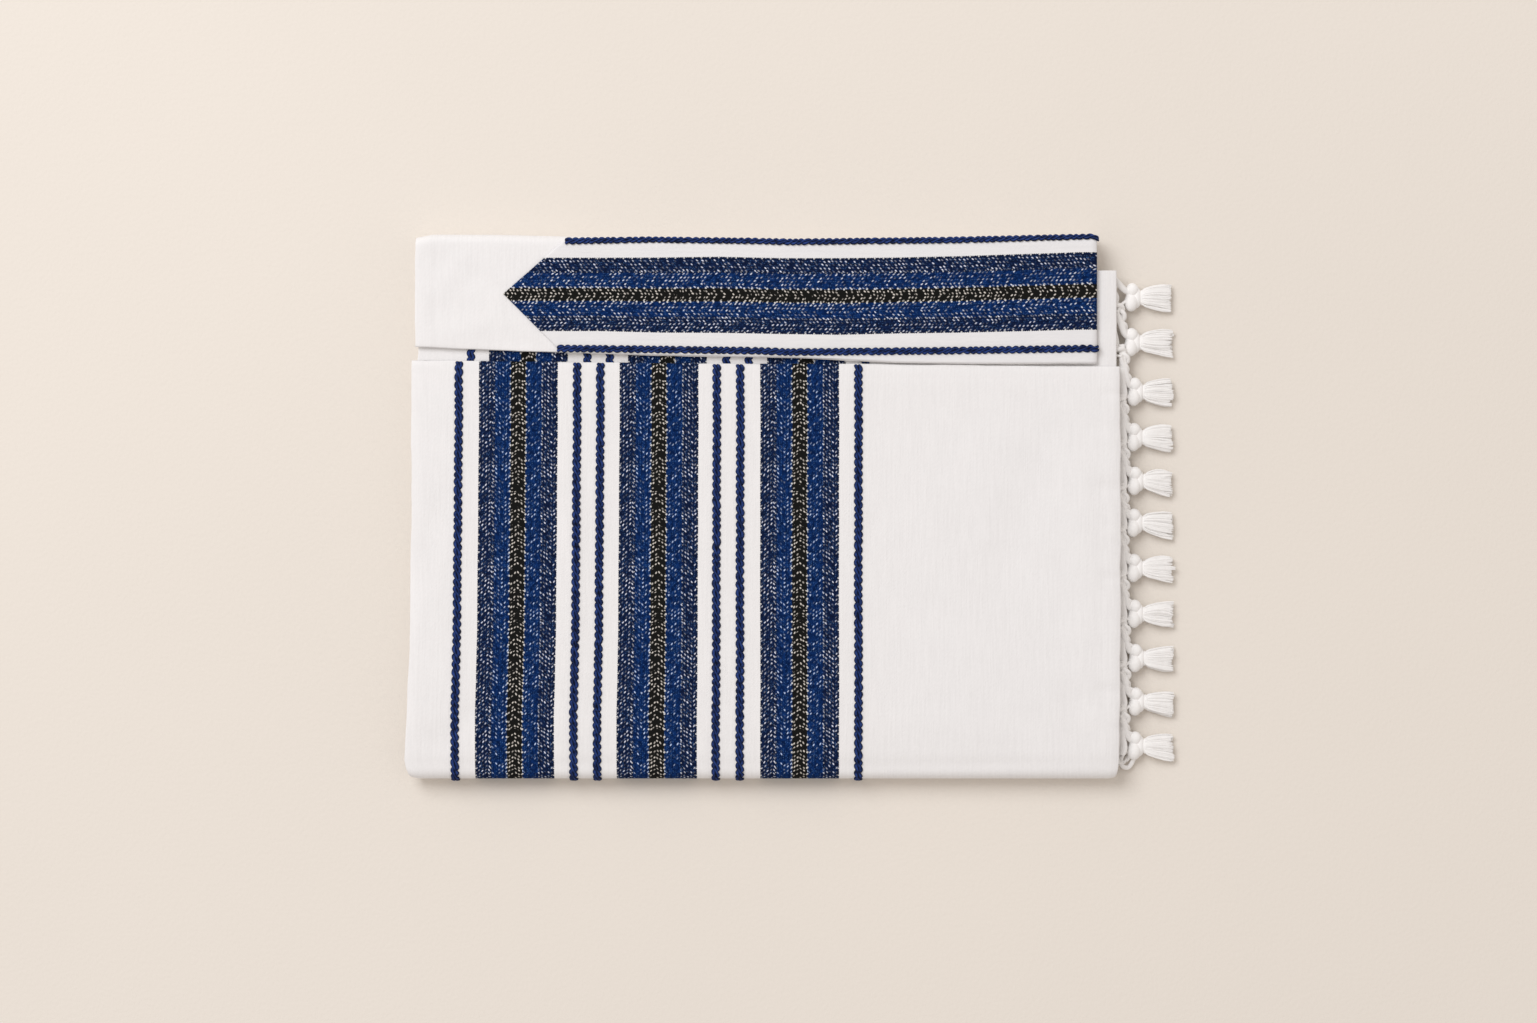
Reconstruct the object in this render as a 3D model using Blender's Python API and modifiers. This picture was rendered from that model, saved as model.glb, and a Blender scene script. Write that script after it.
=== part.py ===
"""A tallit, the Jewish prayer shawl, folded flat for storage and lying on a table.

The last fold closes the cloth like a letter: the front panel comes up from the front fold, the collar
flap comes down from the back fold, and the inner fold shows in the slot between them and at the back
right corner. The neckband, a striped strip with a pointed end, is sewn on the collar flap. Eleven
knotted tassels of the fringed end stand out of the right side.

Units are metres, +Z is up, +X runs along the front fold towards the fringe and +Y towards the back fold.
The origin is under the middle of the whole object, on the surface that it lies on. Tables are in
millimetres, so that they can be read beside a ruler.
"""

import math
import random

import bmesh
import bpy
import numpy as np
from mathutils import Matrix

MM = 0.001

# Cloth thickness: single cloth, the doubled cloth of the collar flap, the sewn-on neckband
CLOTH = 1.4 * MM
FLAP = 2.4 * MM
BAND_CLOTH = 1.0 * MM
SEAM = 0.3 * MM

# Heights of the layers, from the table up
HIDDEN_BASE = CLOTH + SEAM
HIDDEN_TOP = HIDDEN_BASE + 9.8 * MM
INNER_BASE = HIDDEN_TOP + SEAM
INNER_TOP = INNER_BASE + CLOTH
TOP_BASE = INNER_TOP + SEAM
PANEL_TOP = TOP_BASE + CLOTH
FLAP_TOP = TOP_BASE + FLAP

# The two folds that close the pack: which way they bulge, how far, how square their section is and
# how high their cloth stands. Both are tucked under the pack as far as TUCK_END.
FRONT_FOLD = {"way": -1, "bulge": 6.0 * MM, "squareness": 2.2, "top": PANEL_TOP}
BACK_FOLD = {"way": 1, "bulge": 5.0 * MM, "squareness": 2.5, "top": FLAP_TOP}
FRONT_FLAT_Y = -132.6 * MM
TUCK_END = 114.0 * MM
FOLD_STEPS = 9
FOLD_CLEARANCE = 0.6 * MM

# How round the cloth's cut edges are, and how far the front panel stands off the layer under it
EDGE_ROUND = 0.9 * MM
FLAP_ROUND = 1.2 * MM
EDGE_LIFT = 0.25
PANEL_SWELL = 0.7 * MM

# The woven stripes, across the cloth: bands with a dark middle, each with a raised braid on both sides
BAND_COUNT = 3
BAND_PITCH = 71.5 * MM
LAST_BAND_X = 5.1 * MM
BAND_WIDTH = 40.0 * MM
DARK_WIDTH = 7.7 * MM
BRAID_OFFSET = 30.1 * MM
BRAID_WIDTH = 4.1 * MM
BRAID_RISE = 0.9 * MM
BRAID_SECTION = {"across": (-0.5, -0.3, 0.0, 0.3, 0.5), "rise": (0.0, 0.8, 1.0, 0.8, 0.0)}

# Sides of the front panel, along its flat part and then by degrees of turn round its fold
PANEL_SIDES = {
    "y": (-132.6, -129.5, -116.0, -63.0, 3.0, 75.0),
    "left": (-194.6, -195.6, -195.1, -193.4, -192.6, -192.7),
    "right": (167.0, 167.4, 167.5, 168.0, 168.1, 167.6),
}
FOLD_SIDES = {
    "turn": (0.0, 24.0, 60.0, 90.0, 180.0),
    "left": (-194.6, -193.2, -192.4, -191.4, -188.5),
    "right": (167.0, 166.5, 165.9, 165.2, 164.5),
}
PANEL_UPPER_EDGE = {
    "x": (-193.0, -86.5, -47.0, 39.5, 93.0, 168.0),
    "y": (74.4, 73.2, 72.7, 72.5, 71.5, 71.2),
}
# How far the stripes lean to the left by the front fold
STRIPE_LEAN = {
    "x": (-168.0, -110.0, -66.0, -37.0, -15.0),
    "lean": (1.7, 1.6, 1.1, 0.4, 0.0),
}

# How far the braids still stand up round the front fold
PRESSED = {"turn": (90.0, 150.0), "standing": (1.0, 0.0)}

# The collar flap: its ends, its lower edge and the back fold
FLAP_LEFT = -190.7 * MM
FLAP_RIGHT = 155.0 * MM
FLAP_EDGES = {
    "x": (-190.0, -182.0, -150.0, -112.0, -71.0, 0.0, 26.0, 53.0, 93.0, 156.0),
    "lower": (79.6, 79.5, 79.0, 78.0, 76.7, 75.5, 74.4, 72.8, 72.3, 72.3),
    "back": (137.0, 138.6, 138.5, 137.6, 137.1, 136.6, 136.8, 137.1, 137.7, 138.1),
}

# The neckband: the middle lines of its two braids, its stripes as shares of the way from the lower
# braid to the upper one, each with the colour above it, and the outline of its pointed end
NECKBAND_BRAIDS = {
    "x": (-150.0, -117.0, -70.0, -17.0, 0.0, 80.0, 155.0),
    "lower": (80.6, 80.2, 79.8, 79.1, 78.4, 79.1, 80.3),
    "upper": (134.8, 134.8, 135.0, 134.5, 134.2, 135.1, 136.2),
}
NECKBAND_STRIPES = {
    "share": (0.166, 0.446, 0.5, 0.564, 0.837),
    "above": ("blue_weave", "dark_weave", "dark_weave", "blue_weave", "white_cloth"),
}
NECKBAND_POINT = {"share": (-0.04, 0.5, 1.06), "x": (-117.0, -145.8, -109.8)}
NECKBAND_DEPTH = 55.0 * MM
NECKBAND_HEM = {"lower": 0.2 * MM, "upper": 0.4 * MM}
NECKBAND_BRAID_WIDTH = 3.6 * MM
NECKBAND_ALONG = (0.0, 0.02, 0.1, 0.22, 0.36, 0.5, 0.64, 0.78, 0.9, 0.97)
NECKBAND_TURN_DOWN = (0.0, 30.0, 60.0, 85.0)

# The folded layers inside: their plan, with a notch at the back right corner, and how far each layer
# stays back at the two sides, from the table up
LAYER_PLAN = {
    "y": (-133.0, -116.0, -63.0, 3.0, 68.0, 77.0, 135.0),
    "left": (-190.5, -193.6, -192.0, -191.2, -190.9, -189.4, -188.8),
}
LAYERS_RIGHT = 165.3 * MM
INNER_RIGHT = 166.0 * MM
NOTCH = {"x": 153.2 * MM, "y": 120.1 * MM}
CORNER_CUT = 2.5 * MM
LAYER_GROOVE = 1.0 * MM
LAYER_SIDES = {"left": (0.6, 0.0, 0.9, 0.2, 0.5), "right": (0.6, 0.0, 0.9, 0.2, 0.5)}
LAYER_SECTION = {"up": (0.0, 0.3, 0.7), "in": (1.0, 0.12, 0.12)}
INNER_SECTION = {"up": (0.0, 0.35, 0.75, 1.0), "in": (0.5, 0.0, 0.15, 0.7)}

# The fringe, one place in each column for each tassel, from the back: the middle of its knot, how far
# its skirt leans to the front, and where the skirt ends
TASSELS = {
    "x": (174.9, 174.6, 176.2, 175.9, 176.4, 175.9, 176.0, 176.2, 176.7, 176.8, 176.4),
    "y": (106.7, 83.8, 58.5, 35.3, 13.0, -8.4, -31.5, -54.9, -77.5, -99.7, -122.2),
    "lean": (-0.3, -0.7, -0.6, -0.7, -1.6, -1.9, -0.8, -0.5, -0.5, -1.3, -1.3),
    "end": (194.4, 194.9, 194.9, 194.7, 194.6, 195.1, 195.2, 195.4, 195.3, 195.5, 195.3),
}
KNOT_Z = 4.0 * MM
KNOT_LOBES = {
    "name": ("lower_lobe", "upper_lobe", "wrap"),
    "middle": ((-0.6, -2.6, 0.0), (-0.2, 3.7, 0.2), (3.7, -0.2, -0.3)),
    "radii": ((3.9, 4.3, 3.6), (3.6, 3.5, 3.3), (2.4, 3.8, 3.1)),
}
LOBE_SEGMENTS = 8
LOBE_RINGS = 6

# Legs that carry a knot on the cloth's edge: how thick they are, how far from the junction they start
# and where in the knot they end. The legs of two neighbours meet at a junction, a little apart.
LEG_ROOT_X = LAYERS_RIGHT + SEAM
LEG_ROOT_Z = HIDDEN_BASE + 2.94 * MM
LEG_START = 1.2 * MM
LEG_SAG = 0.9 * MM
FIRST_JUNCTION_Y = 114.6 * MM
JUNCTION_DROP = 7.2 * MM
LEGS = {
    "long": {"radius": 1.3 * MM, "apart": -1.55 * MM, "end": (-1.6 * MM, 4.4 * MM, 0.0)},
    "short": {"radius": 1.0 * MM, "apart": 1.25 * MM, "end": (-2.2 * MM, -2.6 * MM, 0.0)},
    "last": {"radius": 1.1 * MM, "apart": -3.4 * MM, "end": (0.2 * MM, -5.0 * MM, 0.0)},
}

# A skirt's strands, in rows from the top: how many, how wide the row is at its two ends and how high
STRAND_ROWS = {
    "count": (5, 6, 5),
    "root_half_width": (2.3, 2.9, 2.4),
    "root_height": (1.5, -0.1, -1.7),
    "end_half_width": (5.4, 6.9, 6.0),
    "end_height": (0.6, -1.1, -2.7),
}
STRAND_ROOT_X = 3.4 * MM
STRAND_STEPS = {"share": (0.0, 0.3, 0.65, 1.0), "radius": (0.45, 0.6, 0.72, 0.5)}
STRAND_UNEVEN = {"length": 1.0 * MM, "round": 0.8 * MM, "aside": 0.3 * MM}
FRINGE_SEED = 7

COLOURS = {
    "white_cloth": {"colour": (0.83, 0.81, 0.80), "roughness": 0.85},
    "blue_weave": {"colour": (0.028, 0.075, 0.22), "roughness": 0.8},
    "dark_weave": {"colour": (0.035, 0.034, 0.028), "roughness": 0.8},
    "navy_braid": {"colour": (0.012, 0.025, 0.12), "roughness": 0.7},
    "white_yarn": {"colour": (0.86, 0.84, 0.82), "roughness": 0.9},
}
CLOTH_SLOTS = ("white_cloth", "blue_weave", "dark_weave", "navy_braid")


# Scene, materials and tables


def clear_scene():
    """Remove the objects that a new file starts with."""
    for thing in list(bpy.data.objects):
        bpy.data.objects.remove(thing)


def new_collection(name):
    collection = bpy.data.collections.new(name)
    bpy.context.scene.collection.children.link(collection)
    return collection


def dull_material(name, colour, roughness):
    """A Principled material with the piece's colour and a dull finish with no metal in it."""
    material = bpy.data.materials.new(name)
    material.use_nodes = True
    shader = material.node_tree.nodes["Principled BSDF"]
    shader.inputs["Base Color"].default_value = (*colour, 1.0)
    shader.inputs["Roughness"].default_value = roughness
    shader.inputs["Metallic"].default_value = 0.0
    material.diffuse_color = (*colour, 1.0)
    return material


def read_table(table, along, value, at):
    """A table's value, in metres, where its other column has the place `at`, in metres."""
    return float(np.interp(at / MM, table[along], table[value])) * MM


def add_object(name, mesh, collection, materials, place=(0.0, 0.0, 0.0)):
    """An object of its own for one piece, with its materials, standing at its place."""
    thing = bpy.data.objects.new(name, mesh)
    thing.location = place
    mesh.name = name
    mesh.materials.clear()
    for material in materials:
        mesh.materials.append(material)
    collection.objects.link(thing)
    return thing


def shade(mesh, sharp_degrees):
    mesh.shade_smooth()
    mesh.set_sharp_from_angle(angle=math.radians(sharp_degrees))


# Cloth walls


def wall_mesh(name, outer, inner, slots):
    """One closed wall between two grids of points of the same size, with a rim all round.

    Each grid is rows x columns x 3. Seen from outside, its rows run towards the viewer and its columns
    to the right. slots has the material of each quad of the outer grid, rows - 1 by columns - 1.
    """
    rows, columns, _ = outer.shape
    count = rows * columns
    grid = np.arange(count).reshape(rows, columns)
    corners = (grid[:-1, :-1], grid[1:, :-1], grid[1:, 1:], grid[:-1, 1:])
    quads = np.stack(corners, axis=-1).reshape(-1, 4)
    rim = np.concatenate([grid[0, :-1], grid[:-1, -1], grid[-1, :0:-1], grid[:0:-1, 0]])
    after = np.roll(rim, -1)
    edges = np.stack([rim, after, after + count, rim + count], axis=-1)
    faces = np.concatenate([quads, quads[:, ::-1] + count, edges])
    mesh = bpy.data.meshes.new(name)
    points = np.concatenate([outer.reshape(-1, 3), inner.reshape(-1, 3)])
    mesh.from_pydata(points.tolist(), [], faces.tolist())
    index = np.zeros(len(faces), dtype=int)
    index[: len(quads)] = np.asarray(slots).reshape(-1)
    mesh.polygons.foreach_set("material_index", index)
    shade(mesh, 50)
    return mesh


def plain_line(at, rise=0.0):
    """A line of points along a wall, level with the cloth or raised off it."""
    return {"at": at, "rise": rise, "over": 0.0}


def edge_lines(edge, side, radius, steps=3):
    """Lines that round a cloth's edge over, from its flat out. `over` says how far each has turned."""
    lines = [plain_line(edge - side * radius)]
    for step in range(1, steps + 1):
        turn = math.pi / 2 * step / steps
        at = edge - side * radius * (1 - math.sin(turn))
        lines.append({"at": at, "rise": radius * (math.cos(turn) - 1), "over": side * math.sin(turn)})
    return lines if side > 0 else lines[::-1]


def braid_lines(middle, width):
    """Five lines that raise one braid out of the cloth."""
    section = zip(BRAID_SECTION["across"], BRAID_SECTION["rise"])
    return [plain_line(middle + across * width, rise * BRAID_RISE) for across, rise in section]


def cloth_point(outside, inside, x, rise):
    """A point off the cloth: raised along the way from its inner (y, z) point to its outer one."""
    way = np.subtract(outside, inside)
    y, z = np.asarray(outside) + way / np.linalg.norm(way) * rise
    return (x, y, z)


def lining_point(outside, inside, line, radius):
    """The inner point of a wall under a line. At an edge it draws in and lifts, to close the edge."""
    way = np.subtract(outside, inside)
    lift = EDGE_LIFT * radius * line["over"] ** 2
    y, z = np.asarray(inside) + way / np.linalg.norm(way) * lift
    return (line["at"] - 0.5 * radius * line["over"], y, z)


# Folds and the flaps that come from them


def fold_section(fold, flat_y, turn, inside=False):
    """(y, z) on a fold's outer or inner side. It turns from the top of the cloth, 0, to its foot, pi."""
    top = TOP_BASE if inside else fold["top"]
    foot = CLOTH if inside else 0.0
    bulge = fold["bulge"] - (CLOTH if inside else 0.0)
    power = 2 / fold["squareness"]
    cosine = math.cos(turn)
    y = flat_y + fold["way"] * bulge * max(0.0, math.sin(turn)) ** power
    z = (top + foot) / 2 + (top - foot) / 2 * math.copysign(abs(cosine) ** power, cosine)
    return y, z


def fold_room(fold, z):
    """How far a layer at height z can reach into a fold."""
    middle = (TOP_BASE + CLOTH) / 2
    half = (TOP_BASE - CLOTH) / 2
    filled = min(1.0, abs(z - middle) / half) ** fold["squareness"]
    return (fold["bulge"] - CLOTH) * (1 - filled) ** (1 / fold["squareness"]) - FOLD_CLEARANCE


def back_flat_y(x):
    return read_table(FLAP_EDGES, "x", "back", x) - BACK_FOLD["bulge"]


def flap_stations(flat_rows):
    """Rows of a flap, from its free edge over the flat cloth, round its fold and under the pack."""
    stations = [{"edge": math.pi / 6 * step} for step in (3, 2, 1, 0)]
    stations += [{"flat": step / (flat_rows + 1)} for step in range(1, flat_rows + 1)]
    stations += [{"turn": math.pi * step / FOLD_STEPS} for step in range(FOLD_STEPS + 1)]
    return [*stations, {"tucked": 1.0}]


def flap_section(station, fold, edge_y, flat_y, radius):
    """Outer (y, z), inner (y, z) and rise of one row of a flap."""
    if "turn" in station:
        turn = station["turn"]
        return fold_section(fold, flat_y, turn), fold_section(fold, flat_y, turn, inside=True), 0.0
    if "tucked" in station:
        y = fold["way"] * TUCK_END
        return (y, 0.0), (y, CLOTH), 0.0
    if "edge" in station:
        over = math.sin(station["edge"])
        y = edge_y + fold["way"] * radius * (1 - over)
        inner_y = edge_y + fold["way"] * radius * (1 - 0.5 * over)
        inner_z = TOP_BASE + EDGE_LIFT * radius * over**2
        return (y, fold["top"]), (inner_y, inner_z), radius * (math.cos(station["edge"]) - 1)
    start = edge_y + fold["way"] * radius
    y = start + (flat_y - start) * station["flat"]
    return (y, fold["top"]), (y, TOP_BASE), 0.0


# Front panel


def weave_at(x):
    """The woven colour of the front panel's flat cloth at x."""
    for number in range(BAND_COUNT):
        distance = abs(x - (LAST_BAND_X - number * BAND_PITCH))
        if distance < BAND_WIDTH / 2:
            return "dark_weave" if distance < DARK_WIDTH / 2 else "blue_weave"
    return "white_cloth"


def weave_lines():
    """Lines where a stripe begins or ends, with the braids."""
    lines = []
    for number in reversed(range(BAND_COUNT)):
        middle = LAST_BAND_X - number * BAND_PITCH
        lines += braid_lines(middle - BRAID_OFFSET, BRAID_WIDTH)
        edges = (-BAND_WIDTH / 2, -DARK_WIDTH / 2, DARK_WIDTH / 2, BAND_WIDTH / 2)
        lines += [plain_line(middle + edge) for edge in edges]
        lines += braid_lines(middle + BRAID_OFFSET, BRAID_WIDTH)
    return lines


def panel_lines(left, right, leaned):
    """The lines across the front panel, for a row's two sides and its share of the stripes' lean."""
    lines = []
    for line in weave_lines():
        lean = leaned * read_table(STRIPE_LEAN, "x", "lean", line["at"])
        lines.append({**line, "at": line["at"] - lean})
    plain = [plain_line(left + (right - left) * share) for share in (0.76, 0.88)]
    return [*edge_lines(left, -1, EDGE_ROUND), *lines, *plain, *edge_lines(right, 1, EDGE_ROUND)]


def panel_slots():
    """The material of each strip between two of the front panel's lines."""
    lines = panel_lines(PANEL_SIDES["left"][-1] * MM, PANEL_SIDES["right"][-1] * MM, 0.0)
    found = []
    for first, second in zip(lines, lines[1:]):
        raised = max(first["rise"], second["rise"]) > 0
        name = "navy_braid" if raised else weave_at((first["at"] + second["at"]) / 2)
        found.append(CLOTH_SLOTS.index(name))
    return found


def panel_row_lines(station):
    """The front panel's lines in one row, and how far that row stands off the layer under it.

    The braids are pressed flat where the cloth is tucked under.
    """
    if "turn" in station or "tucked" in station:
        turn = math.degrees(station.get("turn", math.pi))
        sides = [read_table(FOLD_SIDES, "turn", side, turn * MM) for side in ("left", "right")]
        standing = float(np.interp(turn, PRESSED["turn"], PRESSED["standing"]))
        lines = panel_lines(*sides, 1.0)
        return [{**line, "rise": line["rise"] * (standing if line["rise"] > 0 else 1)} for line in lines], 0.0
    share = station.get("flat", 0.0)
    y = FRONT_FLAT_Y * share + PANEL_UPPER_EDGE["y"][0] * MM * (1 - share)
    sides = [read_table(PANEL_SIDES, "y", side, y) for side in ("left", "right")]
    return panel_lines(*sides, share**1.4), PANEL_SWELL * math.sin(math.pi * share) ** 2


def front_panel(collection, materials):
    """The flap that comes up from the front fold, with the woven bands and their raised braids."""
    outer, inner = [], []
    for station in flap_stations(flat_rows=7):
        lines, swell = panel_row_lines(station)
        outer_row, inner_row = [], []
        for line in lines:
            edge_y = read_table(PANEL_UPPER_EDGE, "x", "y", line["at"])
            outside, inside, rise = flap_section(station, FRONT_FOLD, edge_y, FRONT_FLAT_Y, EDGE_ROUND)
            rise = rise + line["rise"] if line["rise"] > 0 else min(rise, line["rise"])
            x, y, z = cloth_point(outside, inside, line["at"], rise)
            outer_row.append((x, y, z + swell))
            x, y, z = lining_point(outside, inside, line, EDGE_ROUND)
            inner_row.append((x, y, z + swell))
        outer.append(outer_row)
        inner.append(inner_row)
    slots = [panel_slots()] * (len(outer) - 1)
    mesh = wall_mesh("front_panel", np.array(outer), np.array(inner), slots)
    return add_object("front_panel", mesh, collection, [materials[name] for name in CLOTH_SLOTS])


# Collar flap


def collar_flap(collection, materials):
    """The doubled flap that comes down from the back fold."""
    spans = [plain_line(x * MM) for x in (*FLAP_EDGES["x"][1:-1], 125.0)]
    lines = [*edge_lines(FLAP_LEFT, -1, FLAP_ROUND), *spans, *edge_lines(FLAP_RIGHT, 1, FLAP_ROUND)]
    outer, inner = [], []
    for station in reversed(flap_stations(flat_rows=3)):
        outer_row, inner_row = [], []
        for line in lines:
            edge_y = read_table(FLAP_EDGES, "x", "lower", line["at"])
            flat_y = back_flat_y(line["at"])
            outside, inside, rise = flap_section(station, BACK_FOLD, edge_y, flat_y, FLAP_ROUND)
            outer_row.append(cloth_point(outside, inside, line["at"], min(rise, line["rise"])))
            inner_row.append(lining_point(outside, inside, line, FLAP_ROUND))
        outer.append(outer_row)
        inner.append(inner_row)
    slots = [[0] * (len(lines) - 1)] * (len(outer) - 1)
    mesh = wall_mesh("collar_flap", np.array(outer), np.array(inner), slots)
    return add_object("collar_flap", mesh, collection, [materials["white_cloth"]])


# Neckband


def back_fold_arc(steps=48):
    """The upper half of the back fold's section: its turn and its reach by the length run along it."""
    turns = np.linspace(0, math.pi / 2, steps)
    points = np.array([fold_section(BACK_FOLD, 0.0, turn) for turn in turns])
    run = np.concatenate([[0.0], np.cumsum(np.linalg.norm(np.diff(points, axis=0), axis=1))])
    return {"run": run, "turn": turns, "reach": points[:, 0]}


def on_flap(arc, x, run):
    """Outer and inner (y, z) of the collar flap where the cloth has run `run` up from y = 0."""
    flat_y = back_flat_y(x)
    if run <= flat_y:
        return (run, FLAP_TOP), (run, TOP_BASE)
    turn = float(np.interp(run - flat_y, arc["run"], arc["turn"]))
    return fold_section(BACK_FOLD, flat_y, turn), fold_section(BACK_FOLD, flat_y, turn, inside=True)


def neckband_rows():
    """The lines along the neckband, from its upper edge down.

    Each lies at a share of the way between the two braids, plus a length. It has a rise, and the colour
    of the strip above it.
    """
    half = NECKBAND_BRAID_WIDTH / 2
    rows = [{"share": 0.0, "plus": -half - NECKBAND_HEM["lower"], "rise": 0.0, "above": "white_cloth"}]
    for share in (0.0, 1.0):
        for across, rise in zip(BRAID_SECTION["across"], BRAID_SECTION["rise"]):
            above = "white_cloth" if across == 0.5 else "navy_braid"
            plus = across * NECKBAND_BRAID_WIDTH
            rows.append({"share": share, "plus": plus, "rise": rise * BRAID_RISE, "above": above})
        if share == 0.0:
            for stripe, above in zip(NECKBAND_STRIPES["share"], NECKBAND_STRIPES["above"]):
                rows.append({"share": stripe, "plus": 0.0, "rise": 0.0, "above": above})
    rows.append({"share": 1.0, "plus": half + NECKBAND_HEM["upper"], "rise": 0.0, "above": "white_cloth"})
    return rows[::-1]


def neckband_start(row):
    """Where a line of the neckband begins, on its pointed end."""
    share = row["share"] + row["plus"] / NECKBAND_DEPTH
    return float(np.interp(share, NECKBAND_POINT["share"], NECKBAND_POINT["x"])) * MM


def neckband_run(arc, row, x):
    """How far up the collar flap a line of the neckband lies at x."""
    lower = read_table(NECKBAND_BRAIDS, "x", "lower", x)
    reach = read_table(NECKBAND_BRAIDS, "x", "upper", x) - back_flat_y(x)
    upper = back_flat_y(x) + float(np.interp(reach, arc["reach"], arc["run"]))
    return lower + (upper - lower) * row["share"] + row["plus"]


def neckband_lines(start):
    """Places along the neckband, from its cut end to where it turns down over the flap's right end."""
    end = FLAP_RIGHT - FLAP_ROUND
    lines = [plain_line(start + (end - start) * share) for share in NECKBAND_ALONG]
    return lines + [{"at": end, "rise": 0.0, "over": math.radians(turn)} for turn in NECKBAND_TURN_DOWN]


def neckband_point(outside, inside, line, lift):
    """A point lifted off the flap. Past the flap's flat it swings round the flap's rounded end."""
    reach = FLAP_ROUND + lift
    x = line["at"] + reach * math.sin(line["over"])
    return cloth_point(outside, inside, x, reach * math.cos(line["over"]) - FLAP_ROUND)


def neckband(collection, materials):
    """The striped strip on the collar flap, made from the flap's own points, moved out."""
    arc = back_fold_arc()
    rows = neckband_rows()
    outer, inner, slots = [], [], []
    for row in rows:
        outer_row, inner_row = [], []
        for line in neckband_lines(neckband_start(row)):
            outside, inside = on_flap(arc, line["at"], neckband_run(arc, row, line["at"]))
            outer_row.append(neckband_point(outside, inside, line, SEAM + BAND_CLOTH + row["rise"]))
            inner_row.append(neckband_point(outside, inside, line, SEAM))
        outer.append(outer_row)
        inner.append(inner_row)
        slots.append([CLOTH_SLOTS.index(row["above"])] * (len(outer_row) - 1))
    mesh = wall_mesh("neckband", np.array(outer), np.array(inner), slots[1:])
    return add_object("neckband", mesh, collection, [materials[name] for name in CLOTH_SLOTS])


# Layers inside the pack


def layer_outline(z, right, inset, room):
    """A layer's outline at height z, anticlockwise from its front left corner.

    inset moves its left, right and folded sides in. room is how far it reaches into the two folds.
    """
    front = FRONT_FLAT_Y - room["front"] + inset["fold"]
    left = LAYER_PLAN["left"][0] * MM + inset["left"]
    right -= inset["right"]
    notch_x = NOTCH["x"] - inset["right"]
    notch_y = NOTCH["y"] - inset["fold"]

    def back(x):
        return back_flat_y(x) + room["back"] - inset["fold"]

    outline = [(left + CORNER_CUT, front), (0.0, front), (right - CORNER_CUT, front)]
    outline += [(right, front + CORNER_CUT), (right, notch_y - CORNER_CUT)]
    outline += [(right - CORNER_CUT, notch_y), (notch_x, notch_y)]
    outline += [(x, back(x)) for x in (notch_x, 93 * MM, 26 * MM, -71 * MM, -150 * MM, -182 * MM)]
    for y, x in list(zip(LAYER_PLAN["y"], LAYER_PLAN["left"]))[:0:-1]:
        outline.append((x * MM + inset["left"], min(y * MM, back(x * MM) - CORNER_CUT)))
    outline.append((left, front + CORNER_CUT))
    return [(x, y, z) for x, y in outline]


def stacked_mesh(name, rings):
    """A closed solid through rings of points, each above the last one, with a flat top and bottom."""
    shape = bmesh.new()
    loops = [[shape.verts.new(point) for point in ring] for ring in rings]
    for below, above in zip(loops, loops[1:]):
        for i in range(len(below)):
            shape.faces.new((below[i - 1], below[i], above[i], above[i - 1]))
    shape.faces.new(loops[0][::-1])
    shape.faces.new(loops[-1])
    mesh = bpy.data.meshes.new(name)
    shape.to_mesh(mesh)
    shape.free()
    shade(mesh, 40)
    return mesh


def hidden_layers(collection, materials):
    """The folded layers inside, as one rounded solid with a groove between each two layers."""
    count = len(LAYER_SIDES["left"])
    height = (HIDDEN_TOP - HIDDEN_BASE) / count
    levels = [(layer, up, deep) for layer in range(count) for up, deep in zip(*LAYER_SECTION.values())]
    levels.append((count - 1, 1.0, 1.0))
    rings = []
    for layer, up, deep in levels:
        z = HIDDEN_BASE + (layer + up) * height
        groove = LAYER_GROOVE * deep
        inset = {side: LAYER_SIDES[side][layer] * MM + groove for side in ("left", "right")}
        room = {"front": fold_room(FRONT_FOLD, z), "back": fold_room(BACK_FOLD, z)}
        rings.append(layer_outline(z, LAYERS_RIGHT, {**inset, "fold": groove}, room))
    mesh = stacked_mesh("hidden_layers", rings)
    return add_object("hidden_layers", mesh, collection, [materials["white_cloth"]])


def inner_fold(collection, materials):
    """The layer that shows in the slot and past the collar flap's right end."""
    rings = []
    for up, deep in zip(*INNER_SECTION.values()):
        inset = dict.fromkeys(("left", "right", "fold"), EDGE_ROUND * deep)
        room = {"front": 0.0, "back": 0.0}
        rings.append(layer_outline(INNER_BASE + up * CLOTH, INNER_RIGHT, inset, room))
    mesh = stacked_mesh("inner_fold", rings)
    return add_object("inner_fold", mesh, collection, [materials["white_cloth"]])


def under_panel(collection, materials):
    """The layer that the pack rests on, between the two tucked-in edges."""
    left, right = FOLD_SIDES["left"][-1] * MM, FOLD_SIDES["right"][-1] * MM
    bpy.ops.mesh.primitive_cube_add(size=1.0)
    panel = bpy.context.object
    panel.name = panel.data.name = "under_panel"
    panel.location = ((left + right) / 2, 0.0, CLOTH / 2)
    panel.data.transform(Matrix.Diagonal((right - left, 2 * (TUCK_END - SEAM), CLOTH, 1.0)))
    rounded = panel.modifiers.new("rounded_edges", "BEVEL")
    rounded.width = CLOTH * 0.35
    rounded.segments = 2
    panel.data.materials.append(materials["white_cloth"])
    for holder in list(panel.users_collection):
        holder.objects.unlink(panel)
    collection.objects.link(panel)
    return panel


# Tassels


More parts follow.
